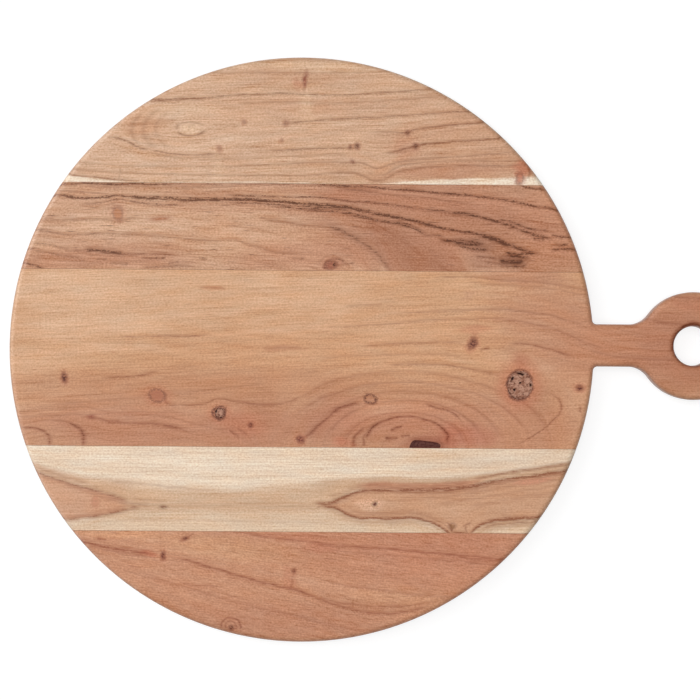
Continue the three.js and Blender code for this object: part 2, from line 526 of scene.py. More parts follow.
Guide = namedtuple("Guide", "level points lines", defaults=((),))
Line = namedtuple("Line", "shift start end width strength")
Mark = namedtuple("Mark", "points width strength upright", defaults=(False,))
Arc = namedtuple("Arc", "u v radius_u radius_v start end width strength turn", defaults=(0,))
Zone = namedtuple("Zone", "top bottom start end fade colour strength")
Patch = namedtuple("Patch", "u v radius_u radius_v colour strength turn", defaults=(0,))
Knot = namedtuple("Knot", "u v radius_u radius_v colour core ring halo push turn", defaults=(0,) * 4)
Dome = namedtuple("Dome", "u v radius_u radius_v inner outer turn", defaults=(0,))
Noise = namedtuple("Noise", "along across deep detail roughness shift", defaults=(1.0, 0.5, 0.0))
Wood = namedtuple("Wood", (
    "base light stain black bands grain dashes fibre slope lean fray "
    "guides marks arcs patches knots zones dome"), defaults=((), None))

# Lengths in pixels: the span of a guide's curve, the soft ends of lines and zones, and how far
# the drawn figure shakes along and across the grain, the second for the edges of patches
CURVE_SPAN = 800.0
LINE_FADE = 8.0
ZONE_FADE = 12.0
SHAKE_REACH = (6.0, 3.0, 0.0)
PATCH_SHAKE = (26.0, 9.0, 0.0)

# A stroke's skirts as a share of its width, the taper of a mark's ends and the fade of an arc's
LINE_SKIRT = 2.4
MARK_TAPER = 0.16
ARC_FADE = 0.15

# Noises: how often they repeat in a pixel along the grain, across it and into the depth
SHAKE = Noise(0.05, 0.12, 0.12, detail=3.0)
SLOW = Noise(0.008, 0.05, 0.02, detail=2.0)
WARMTH = Noise(0.03, 0.11, 0.1, detail=2.0, shift=5.0)
BROAD_BANDS = Noise(0.004, 0.13, 0.02, detail=3.0, roughness=0.65)
FINE_BANDS = Noise(0.01, 0.5, 0.1, detail=2.0, roughness=0.6)
FIBRES = Noise(0.09, 0.7, 0.7, detail=2.0, roughness=0.6)
DASHES = Noise(0.05, 0.45, 0.45, shift=7.0)
SPECKS = Noise(0.5, 0.6, 0.6)
PORES = Noise(0.16, 1.1, 1.1, shift=3.0)
STREAKS_ACROSS = 0.8

# Ranges of a noise, or of a distance from an oval's middle, and what they become where it isn't
# 0 to 1
SOFT_MIX = (0.36, 0.64)
DASH_RANGE = (0.64, 0.76)
FINE_RANGE = (0.54, 0.7)
PORE_RANGE = (0.6, 0.74)
PATCH_RANGE = (1.4, 0.3)
PUSH_RANGE = (3.2, 0.4)
HALO_RANGE = (2.4, 0.8)
CORE_RANGE = (1.2, 0.5)
BLACK_RANGE = (0.5, 1.1)
FIBRE_INK = (0.34, 0.58, 0.5, 1.15)
SPECK_INK = (0.36, 0.6, 0.7, 1.15)
MOTTLE = (0.36, 0.58, 0.35, 1.0)
WOOD_ROUGHNESS = (0.3, 0.7, 0.46, 0.36)

# How uneven a knot's edge is, at most and in pixels, and the width of its ring in pixels
KNOT_UNEVEN_MOST = 0.8
KNOT_UNEVEN = 5.0
KNOT_RING_WIDTH = 2.2

# How much fine bands, streaks, specks and pores show in the colour and in the bumps
FINE_SHADE = 0.3
STREAK_SHADE = 0.75
SPECK_SHADE = 0.85
PORE_SHADE = 0.22
SPECK_BUMP = 0.5
PORE_BUMP = 0.6
WOOD_BUMP = 0.2
WOOD_SHEEN = 0.4

# How much less red, green and blue a denser spot of wood gives back, how a warmer spot differs
# from its surroundings, and what makes up for the light that the pores and fibres take
DENSITY_TINT = (0.65, 1.0, 1.3)
WARMTH_TINT = (0.1, -0.1, -0.3)
GROUND_TINT = (1.145, 1.11, 1.09)

PALE_TAN = (217, 182, 151)
GREY_TAN = (214, 178, 149)
ROSE_TAN = (211, 167, 135)
TAN = (206, 161, 126)
GOLD = (202, 152, 114)
ORANGE_TAN = (203, 146, 106)
ROSE = (197, 150, 119)
RUST = (185, 130, 101)
RED_BROWN = (177, 120, 92)
BROWN = (174, 121, 93)
UMBER = (178, 123, 95)
DEEP_RED = (140, 74, 54)
DENSE = (122, 77, 58)
DARK_BROWN = (104, 60, 42)
BLACK_BROWN = (62, 32, 22)
CREAM = (230, 209, 185)
PALE_CREAM = (238, 221, 199)
LOW_CREAM = (218, 191, 163)
HAZE = (206, 172, 141)
TONGUE = (201, 156, 124)
RED_HALO = (188, 114, 84)
KNOT_RING = (94, 46, 34)
INK = (48, 22, 12)


def photo_coordinates(graph, lean):
    """The photograph's pixel above each point, and the depth below the serving face in pixels.
    The growth rings lean as they go down through the board."""
    place = graph.place()
    per_metre = 1 / (PHOTO_SCALE * MM)
    turn_cos = math.cos(PHOTO_TURN) * per_metre
    turn_sin = math.sin(PHOTO_TURN) * per_metre
    depth = graph.vector_math("DOT_PRODUCT", place, (0, 0, -per_metre)) + THICKNESS / PHOTO_SCALE
    u = graph.vector_math("DOT_PRODUCT", place, (turn_cos, turn_sin, 0)) + PHOTO_CENTRE[0]
    v = graph.vector_math("DOT_PRODUCT", place, (turn_sin, -turn_cos, 0)) + PHOTO_CENTRE[1]
    return u, v + depth * lean, depth


def grain_noise(graph, noise, u, across, depth, colour=False):
    """A noise drawn out along the grain."""
    deep = graph.math("MULTIPLY_ADD", depth, noise.deep, noise.shift)
    place = graph.vector(u * noise.along, across * noise.across, deep)
    return graph.noise(place, noise.detail, noise.roughness, colour)


def growth_levels(graph, u, v, wood, place):
    """The growth level at each point, and the height of every guide there. Under a dome the
    levels go round its middle instead."""
    along = u * (1 / CURVE_SPAN)
    across = v * (1 / CURVE_SPAN)
    curves = []
    for guide in wood.guides:
        curves.append(graph.curve(along, [(a / CURVE_SPAN, b / CURVE_SPAN) for a, b in guide.points]))
    level = wood.guides[0].level
    for upper, lower, top, bottom in zip(wood.guides, wood.guides[1:], curves, curves[1:]):
        level = level + graph.range(across, top, bottom, 0.0, lower.level - upper.level, smooth=False)
    if wood.dome:
        away = graph.oval_distance(place, wood.dome) * wood.dome.radius_v
        share = graph.range(away, wood.dome.outer, wood.dome.inner)
        level = level + (wood.dome.v - away - level) * share
    return level, [curve * CURVE_SPAN for curve in curves]


def stroke_ink(graph, away, width, strength):
    """Ink across a stroke: darkest along its middle, with soft skirts."""
    near = graph.range(away, 0.0, width * LINE_SKIRT, 1.0, 0.0, smooth=False)
    return near * near * strength


def line_ink(graph, u, v, height, line):
    """Ink along a guide, between two places on it."""
    away = graph.math("ABSOLUTE", v - height - line.shift)
    ink = stroke_ink(graph, away, line.width, line.strength)
    return ink * graph.between(u, line.start, line.end, LINE_FADE)


def mark_ink(graph, u, v, mark):
    """Ink along a curve of its own. The points of an upright mark are v and then u."""
    along, across = (v, u) if mark.upright else (u, v)
    first, last = mark.points[0][0], mark.points[-1][0]
    low = min(point[1] for point in mark.points)
    high = max(max(point[1] for point in mark.points), low + 1)
    points = [((a - first) / (last - first), (b - low) / (high - low)) for a, b in mark.points]
    share = graph.range(along, first, last, smooth=False)
    height = graph.math("MULTIPLY_ADD", graph.curve(share, points), high - low, low)
    away = graph.math("ABSOLUTE", across - height)
    ink = stroke_ink(graph, away, mark.width, mark.strength)
    return ink * graph.range(share * (1.0 - share), 0.0, MARK_TAPER)


def arc_ink(graph, place, arc):
    """Ink along an oval from one angle to another, counted from its right end."""
    offset = graph.oval_offset(place, arc)
    away = graph.math("ABSOLUTE", graph.vector_math("LENGTH", offset) - 1.0)
    ink = stroke_ink(graph, away, arc.width / min(arc.radius_u, arc.radius_v), arc.strength)
    middle = math.radians(arc.start + arc.end) / 2
    half = math.radians(arc.end - arc.start) / 2
    fade = min(ARC_FADE, half / 2)
    facing = graph.vector_math("DOT_PRODUCT", offset, (math.cos(middle), math.sin(middle), 0.0))
    return ink * graph.range(facing, math.cos(half + fade), math.cos(half - fade))


def drawn_inks(graph, wood, u, v, place, heights):
    """The ink of each line, mark and arc of a stave, one at a time."""
    for guide, height in zip(wood.guides, heights):
        for line in guide.lines:
            yield line_ink(graph, u, v, height, line)
    for mark in wood.marks:
        yield mark_ink(graph, u, v, mark)
    for arc in wood.arcs:
        yield arc_ink(graph, place, arc)


def stained(graph, colour, share, wood):
    """Darkens wood as dense growth does: first it goes redder, and then nearly black. The painted
    shade at the hanging hole's lip is darkened the same way.
    """
    deep = graph.vector_math("MULTIPLY", colour, wood.stain)
    colour = graph.mix(share, colour, deep)
    return graph.mix(graph.range(share, *BLACK_RANGE, 0.0, wood.black), colour, INK)


def with_patches(graph, colour, wood, place, u, level):
    """Adds broad patches, and zones that follow the growth lines."""
    for patch in wood.patches:
        distance = graph.oval_distance(place, patch)
        colour = graph.mix(graph.range(distance, *PATCH_RANGE, 0.0, patch.strength), colour, patch.colour)
    for zone in wood.zones:
        share = graph.between(level, zone.top, zone.bottom, zone.fade) * zone.strength
        share = share * graph.between(u, zone.start, zone.end, ZONE_FADE)
        colour = graph.mix(share, colour, zone.colour)
    return colour


def with_knots(graph, colour, wood, distances, specks):
    """Adds knots: a reddish halo, a mottled core and a broken dark ring."""
    mottle = graph.range(specks, *MOTTLE)
    for knot, distance in zip(wood.knots, distances):
        small = min(knot.radius_u, knot.radius_v)
        uneven = distance + (specks - 0.5) * min(KNOT_UNEVEN_MOST, KNOT_UNEVEN / small)
        if knot.halo:
            colour = graph.mix(graph.range(uneven, *HALO_RANGE, 0.0, knot.halo), colour, RED_HALO)
        if knot.core:
            share = graph.range(uneven, *CORE_RANGE, 0.0, knot.core)
            colour = graph.mix(share * mottle, colour, knot.colour)
        if knot.ring:
            away = graph.math("ABSOLUTE", uneven - 1.0)
            share = graph.range(away, 0.0, KNOT_RING_WIDTH / small, knot.ring, 0.0)
            colour = graph.mix(share * mottle, colour, KNOT_RING)
    return colour


def wood_material(name, wood):
    """Oiled wood with a figure of its own, which runs through the thickness."""
    graph = Graph(name)
    u, v, depth = photo_coordinates(graph, wood.lean)
    v_fibre = v - u * wood.slope

    # Small shakes, so that nothing drawn is quite regular, and growth lines pushed aside by knots
    flat = graph.vector(u, v, 0.0)
    shake = grain_noise(graph, SHAKE, u, v, depth, colour=True)
    shake = graph.vector_math("SUBTRACT", shake, (0.5, 0.5, 0.5))
    place = graph.vector_math("MULTIPLY_ADD", shake, SHAKE_REACH, flat)
    patch_place = graph.vector_math("MULTIPLY_ADD", shake, PATCH_SHAKE, flat)
    distances = [graph.oval_distance(place, knot) for knot in wood.knots]
    apart = graph.node("ShaderNodeSeparateXYZ", place)
    u_grain = Field(graph, apart.outputs[0])
    v_grain = Field(graph, apart.outputs[1])
    for knot, distance in zip(wood.knots, distances):
        if knot.push:
            share = graph.range(distance, *PUSH_RANGE, 0.0, knot.push)
            v_grain = v_grain - (v_grain - knot.v) * share
    level, heights = growth_levels(graph, u_grain, v_grain, wood, place)

    slow, warmth, broad, fine = [
        grain_noise(graph, noise, u, level, depth) for noise in (SLOW, WARMTH, BROAD_BANDS, FINE_BANDS)]
    streak_noise = Noise(1 / wood.fibre, STREAKS_ACROSS, STREAKS_ACROSS)
    specks, dashes, streaks, pores = [
        grain_noise(graph, noise, u, v_fibre, depth) for noise in (SPECKS, DASHES, streak_noise, PORES)]
    fibres = grain_noise(graph, FIBRES, u, v, depth)
    pores = graph.range(pores, *PORE_RANGE)

    colour = graph.mix(graph.range(slow, *SOFT_MIX), wood.base, wood.light)
    colour = with_patches(graph, colour, wood, patch_place, u_grain, level)

    # Scattered dashes, growth lines that stand out and the painted shade at the hanging hole's lip,
    # broken up into short fibres
    v_line = v_grain + (specks - 0.5) * wood.fray
    scattered = graph.range(dashes, *DASH_RANGE, 0.0, wood.dashes)
    ink = graph.most(drawn_inks(graph, wood, u_grain, v_line, place, heights), scattered)
    ink = ink * graph.range(fibres, *FIBRE_INK) * graph.range(specks, *SPECK_INK)
    colour = stained(graph, colour, ink, wood)
    colour = with_knots(graph, colour, wood, distances, specks)

    # Growth bands, fibres, specks and pores, as lighter and denser shares of the colour
    shade = (broad - 0.5) * -wood.bands - graph.range(fine, *FINE_RANGE, 0.0, FINE_SHADE * wood.bands)
    grain = (streaks - 0.5) * STREAK_SHADE + (specks - 0.5) * SPECK_SHADE - pores * PORE_SHADE
    shade = shade + grain * wood.grain
    tint = graph.vector_math("MULTIPLY_ADD", shade, DENSITY_TINT, GROUND_TINT)
    tint = graph.vector_math("MULTIPLY_ADD", warmth - 0.5, WARMTH_TINT, tint)
    colour = graph.vector_math("MULTIPLY", colour, tint)

    roughness = graph.range(streaks, *WOOD_ROUGHNESS)
    height = streaks + specks * SPECK_BUMP - pores * PORE_BUMP
    return graph.finish(colour, roughness, height, WOOD_BUMP, WOOD_SHEEN)


def pin_knot(u, v, size, core):
    """A small dark knot, a little longer across the grain."""
    return Knot(u, v, size, size * 1.15, DARK_BROWN, core, ring=core * 0.4, halo=0.25)


BACK_EDGE_WOOD = Wood(
    base=(200, 159, 129), light=(208, 170, 140), stain=(0.5, 0.37, 0.29), black=0.1, bands=0.75,
    grain=1.05, dashes=0.3, fibre=30, slope=-0.02, lean=0.5, fray=2.5,
    guides=[
        Guide(56, [(0, 56), (800, 56)]),
        Guide(74, [
            (100, 76), (214, 74), (350, 73.5), (430, 71), (540, 66)
        ], [Line(0, 205, 440, 1.2, 0.45)]),
        Guide(95, [
            (90, 107), (152, 101.4), (196, 99.2), (277, 94.7), (338, 96), (376, 94), (432, 90), (540, 82)
        ], [Line(0, 148, 205, 1.7, 1.1), Line(0, 195, 440, 1.1, 0.8), Line(8, 240, 470, 1.5, 0.35)]),
        Guide(110, [
            (80, 122), (120, 115), (155, 108), (195, 107), (240, 109), (300, 107), (400, 104), (540, 95)
        ]),
        Guide(119, [
            (60, 132), (109, 131), (190, 129), (244, 124), (290, 123), (328, 120.4), (386, 117.5),
            (466, 112.3), (560, 107)
        ], [Line(0, 288, 500, 1.1, 0.8)]),
        Guide(133, [
            (60, 136), (109, 135), (125, 137), (150, 141), (190, 143), (244, 139), (300, 135), (350, 133),
            (380, 133), (403, 133.7), (415, 130), (438, 127), (482, 123.6), (560, 118)
        ], [Line(0, 400, 500, 1.1, 0.9), Line(0, 376, 404, 1, 0.5)]),
        Guide(149, [
            (60, 140.5), (109, 138), (125, 141.5), (138, 147), (156, 151.6), (179, 155), (214, 154.5),
            (282, 151), (350, 148.7), (365, 150), (378, 154), (390, 152.9), (407, 149), (415, 146.8),
            (497, 138.9), (560, 134)
        ], [
            Line(0, 112, 150, 1.5, 1), Line(0, 140, 222, 1.1, 0.8), Line(3, 150, 215, 1, 0.5),
            Line(0, 270, 350, 1.1, 0.8), Line(0, 388, 508, 1.1, 0.9)
        ]),
        Guide(163, [
            (50, 157), (76, 161.7), (120, 166), (200, 167), (300, 164), (352, 162.4), (365, 164.4),
            (376, 169), (384, 167.2), (400, 162.4), (419, 160), (500, 154), (560, 150)
        ], [Line(0, 62, 330, 1.1, 0.4), Line(0, 330, 510, 1.1, 0.6), Line(-7, 200, 350, 1.2, 0.35)]),
        Guide(175, [
            (50, 168), (120, 173), (200, 175), (300, 176), (352, 173), (365, 176.8), (376, 181),
            (384, 180), (396, 173), (419, 168.6), (463, 166.3), (560, 166)
        ], [Line(0, 60, 350, 1.1, 0.5), Line(0, 340, 530, 1.1, 0.6), Line(-5, 380, 520, 1.2, 0.45)]),
        Guide(183, [
            (50, 173), (64, 175.5), (90, 178.3), (118, 181), (142, 181.5), (220, 181.3), (300, 182.3),
            (376, 184.4), (400, 183.2), (463, 180.6), (520, 179), (560, 178)
        ], [Line(-1, 50, 135, 1, 0.8)]),
        Guide(190, [(50, 190), (560, 190)]),
    ],
    marks=[
        Mark([(245, 64), (300, 61.5), (350, 63.5), (400, 69)], 1.6, 0.3),
        Mark([(168, 121), (182, 120)], 0.9, 0.45, upright=True),
        Mark([(172, 290.5), (183, 289.5)], 0.9, 0.4, upright=True),
        Mark([(188, 129), (197, 127)], 1, 0.4),
        Mark([(165, 526), (173, 529), (182, 524)], 1.3, 0.6, upright=True),
    ],
    arcs=[
        Arc(191, 129.5, 14, 6.8, 15, 150, 1, 0.9, turn=2),
        Arc(191, 129.5, 14, 6.8, 170, 330, 0.9, 0.6, turn=2), Arc(192, 130, 36, 22, 130, 230, 1.6, 0.3),
        Arc(192, 130, 48, 26, 140, 225, 2.2, 0.4), Arc(192, 131, 60, 29, 150, 215, 1.8, 0.4),
    ],
    zones=[
        Zone(62, 70, 180, 420, 3, PALE_TAN, 0.7), Zone(182.4, 230, 385, 600, 0.7, PALE_CREAM, 0.95),
        Zone(182.8, 230, 0, 125, 0.8, PALE_CREAM, 0.9), Zone(183, 230, 125, 390, 1.5, CREAM, 0.55),
    ],
    patches=[
        Patch(155, 138, 110, 60, GREY_TAN, 0.8), Patch(470, 140, 90, 40, ROSE, 0.6, turn=-6),
        Patch(145, 122, 22, 15, ORANGE_TAN, 0.4), Patch(136, 129, 14, 8, ROSE_TAN, 0.6, turn=20),
        Patch(175, 112, 40, 9, PALE_TAN, 0.6, turn=-4), Patch(290, 106, 60, 10, ROSE, 0.5),
        Patch(191, 129.5, 12, 5.5, (226, 193, 162), 0.9), Patch(524, 168, 9, 12, RED_HALO, 0.75, turn=40),
        Patch(306, 104, 7, 20, PALE_TAN, 0.6), Patch(218, 168, 6, 14, PALE_TAN, 0.6),
        Patch(405, 150, 16, 14, RUST, 0.5), Patch(380, 172, 14, 10, ORANGE_TAN, 0.3),
        Patch(298, 85, 7, 7, RED_HALO, 0.35), Patch(450, 172, 70, 9, RUST, 0.5, turn=-3),
        Patch(320, 68, 70, 6, PALE_TAN, 0.9, turn=4),
    ],
    knots=[
        Knot(191, 129.5, 14, 7, PALE_TAN, 0, 0, 0, 0.5, turn=2),
        Knot(305.4, 81.3, 1.8, 6.4, DEEP_RED, 0.9, 0.35, 0.3, turn=4),
        Knot(519, 179, 3.6, 5.5, RED_HALO, 0.8, 0.5, 0.5, 0.3, turn=8), pin_knot(244, 123, 2.2, 0.4),
        pin_knot(285.7, 124, 2.4, 0.45), pin_knot(220, 149.5, 2.3, 0.4), pin_knot(282, 141, 1.8, 0.35),
        pin_knot(350.7, 147.5, 1.6, 0.8), pin_knot(357.4, 146.6, 2.6, 0.9), pin_knot(352, 162, 1.5, 0.6),
        pin_knot(408, 133, 2, 0.8), pin_knot(414.8, 146.8, 2.3, 0.9),
    ],
)

BACK_INNER_WOOD = Wood(
    base=(195, 149, 119), light=(204, 162, 131), stain=(0.48, 0.34, 0.26), black=0.55, bands=0.75,
    grain=1.25, dashes=0.7, fibre=36, slope=0.03, lean=-0.45, fray=4.0,
    guides=[
        Guide(180, [(0, 176), (800, 176)]),
        Guide(187, [
            (20, 184), (200, 184.8), (326, 185.8), (369, 187.5), (416, 191.5), (458, 195), (500, 200),
            (527, 205.2), (555, 209.5), (590, 215)
        ], [
            Line(0, 50, 172, 1.4, 1.1), Line(0, 150, 330, 1, 0.7), Line(0, 316, 575, 1.4, 1.1),
            Line(2.6, 85, 240, 1.1, 0.5)
        ]),
        Guide(199, [
            (20, 187), (60, 190.5), (90, 193), (140, 195.5), (200, 196.5), (250, 196.4), (290, 197.3),
            (317, 197.8), (349, 201.5), (389, 205), (420, 209.5), (455, 213), (472, 216), (490, 220),
            (507, 225.5), (527, 233), (545, 237.5), (590, 243)
        ], [Line(0, 55, 105, 1.2, 0.6), Line(0, 228, 470, 1.3, 0.9), Line(0, 450, 550, 2, 1.2)]),
        Guide(206, [
            (20, 193), (58, 196), (90, 199), (120, 196.9), (142, 198.3), (160, 198.6), (182, 199.9),
            (250, 200), (278, 202), (300, 204), (320, 205.8), (345, 207.6), (373, 213), (397, 218),
            (416, 222), (438, 227.5), (458, 231.5), (480, 235), (500, 242), (517, 248.5), (531, 253),
            (590, 262)
        ], [
            Line(0, 50, 150, 1.5, 1.2), Line(0, 125, 270, 2, 1.4), Line(0, 255, 440, 1.8, 1.4),
            Line(0, 425, 482, 1.5, 1.3), Line(0.5, 478, 510, 2.8, 1.5), Line(0, 500, 536, 1.9, 1.3),
            Line(3.6, 235, 330, 1.3, 0.9), Line(5.2, 275, 375, 1.3, 1), Line(2.2, 300, 350, 1.2, 1)
        ]),
        Guide(212, [
            (20, 206), (60, 206), (92, 204.4), (118, 201.2), (140, 203.4), (160, 205), (180, 205.3),
            (270, 204.8), (290, 207), (320, 209.5), (345, 213.5), (365, 218.5), (385, 221.5),
            (400, 224.5), (413, 229), (428, 237), (445, 246), (458, 256), (467, 268), (480, 290),
            (590, 420)
        ], [Line(0, 86, 182, 1.3, 0.8), Line(0, 340, 425, 1.6, 1.1), Line(-2.2, 395, 425, 1.4, 0.9)]),
        Guide(227, [
            (20, 217), (45, 219.4), (80, 220.4), (112, 219.5), (137, 218.6), (255, 218.6), (275, 221),
            (300, 224.5), (335, 228.5), (348, 236), (362, 242), (372, 243.5), (379, 252), (386, 265),
            (395, 285), (430, 360), (590, 500)
        ], [Line(0, 40, 140, 1.8, 0.6), Line(0, 265, 345, 2.2, 0.5)]),
        Guide(241, [
            (20, 228), (38, 230), (75, 235), (112, 233.6), (170, 237), (210, 241), (230, 240.2),
            (255, 246), (275, 252), (300, 254.5), (340, 262), (365, 290), (400, 380), (590, 540)
        ], [Line(0, 30, 120, 1.3, 0.65), Line(0, 122, 300, 1.2, 0.5)]),
        Guide(255, [
            (20, 248), (42, 250), (82, 251.2), (115, 253.6), (167, 254.6), (210, 259), (260, 266),
            (300, 285), (400, 420), (590, 580)
        ], [Line(0, 70, 175, 1.5, 0.7)]),
        Guide(268, [
            (20, 260.5), (35, 266), (43, 268.5), (150, 276), (300, 330), (400, 460), (590, 620)
        ], [Line(0, 10, 46, 1.5, 1)]),
    ],
    marks=[
        Mark([(80, 251), (95, 251), (108, 252), (118, 253), (128, 254)], 2.6, 1.1),
        Mark([(30, 243), (50, 245), (62, 247.6), (85, 248)], 1.2, 0.65),
        Mark([(30, 250), (45, 252), (60, 255), (85, 259)], 1.3, 0.7),
        Mark([(97, 259), (109, 260)], 1.1, 0.7),
        Mark([(140, 258.6), (160, 258.6), (169, 255.5)], 1.3, 0.9),
        Mark([(110, 263), (131, 264)], 1.2, 0.6), Mark([(168, 263.5), (180, 261.5)], 1.1, 0.7),
        Mark([(198, 258.5), (209, 258.5)], 1.1, 0.8),
        Mark([(138, 269), (165, 267), (182, 266), (197, 267.2)], 1.4, 0.7),
        Mark([(332, 187), (350, 189.5), (368, 191.5), (384, 193.5)], 2.4, 0.7),
        Mark([(366, 192), (395, 195.5), (420, 197.5), (445, 201), (476, 204)], 1.1, 0.6),
        Mark([(492, 217.5), (505, 221.5), (520, 226), (530, 229.5), (553, 232)], 1.6, 1),
        Mark([(460, 213.5), (470, 215), (481, 217)], 2.8, 0.9), Mark([(532, 238.6), (545, 239)], 2, 1.2),
        Mark([(549, 235), (560, 237), (572, 237.6)], 1.4, 1),
        Mark([(553, 244), (562, 245.5), (569, 244)], 1.5, 1),
        Mark([(548, 250.4), (560, 249.6), (580, 249.6)], 1.6, 1.2),
        Mark([(518, 186), (530, 188.4), (547, 190)], 1.4, 1.1),
        Mark([(436, 240), (450, 241.4), (460, 244), (484, 246.8)], 2.1, 1.2),
        Mark([(450, 239.4), (463, 241.5), (486, 244.8)], 1.5, 1),
        Mark([(456, 246.2), (468, 248.8), (490, 250.8)], 1.7, 1),
        Mark([(423, 236.6), (434, 236), (446, 237.4)], 1.1, 0.7),
        Mark([(474, 256.4), (486, 257.4), (499, 259.6)], 1.3, 0.75),
        Mark([(484, 262), (495, 264), (506, 267.4)], 1.3, 0.75),
        Mark([(503, 252), (520, 254.2), (538, 253.4)], 1.4, 1.2),
        Mark([(504, 257), (515, 256), (524, 258), (532, 258.6)], 2.2, 1.2),
        Mark([(496, 260), (510, 262.8), (525, 261.4)], 3.2, 1.2),
        Mark([(502, 266.4), (512, 267), (528, 265)], 1.3, 0.8),
        Mark([(291, 258.6), (305, 258.8)], 1.1, 0.6),
        Mark([(338, 264.8), (346, 264.6), (356, 262.8)], 1.1, 0.7),
        Mark([(320, 224), (345, 233), (362, 243), (374, 252), (384, 263), (396, 280)], 4.6, 0.75),
    ],
    arcs=[
        Arc(334, 265, 9.5, 5.6, 150, 350, 1, 0.8, turn=-6),
        Arc(335, 265, 17, 10, 200, 330, 0.9, 0.3, turn=-8),
    ],
    zones=[
        Zone(212.6, 227, 365, 600, 1.6, BROWN, 0.85), Zone(186, 199, 330, 590, 3, RUST, 0.5),
    ],
    patches=[
        Patch(110, 222, 120, 22, GREY_TAN, 0.3), Patch(235, 234, 70, 15, (209, 164, 131), 0.6, turn=4),
        Patch(90, 259, 90, 14, RUST, 0.6), Patch(320, 256, 80, 18, RUST, 0.6),
        Patch(460, 222, 180, 60, UMBER, 0.75, turn=6), Patch(350, 196, 40, 10, UMBER, 0.6, turn=6),
        Patch(440, 254, 30, 14, RED_BROWN, 0.5, turn=40), Patch(470, 243, 26, 7, DENSE, 0.35, turn=10),
        Patch(513, 262, 15, 8, DENSE, 0.4), Patch(556, 232, 40, 50, (193, 138, 107), 0.8),
        Patch(490, 261, 26, 10, (150, 101, 78), 0.35),
    ],
    knots=[
        Knot(118.5, 214, 5, 6.5, (178, 114, 72), 0.8, 0.4, 0.25, 0.4),
        Knot(161, 219, 9, 2, (168, 104, 68), 0.9, 0.2, 0.2, turn=-3),
        Knot(331, 265.4, 6, 4, DEEP_RED, 0.85, 0.6, 0.3, 0.4, turn=-10),
        Knot(334, 264.8, 1.8, 1.8, BLACK_BROWN, 1),
    ],
)

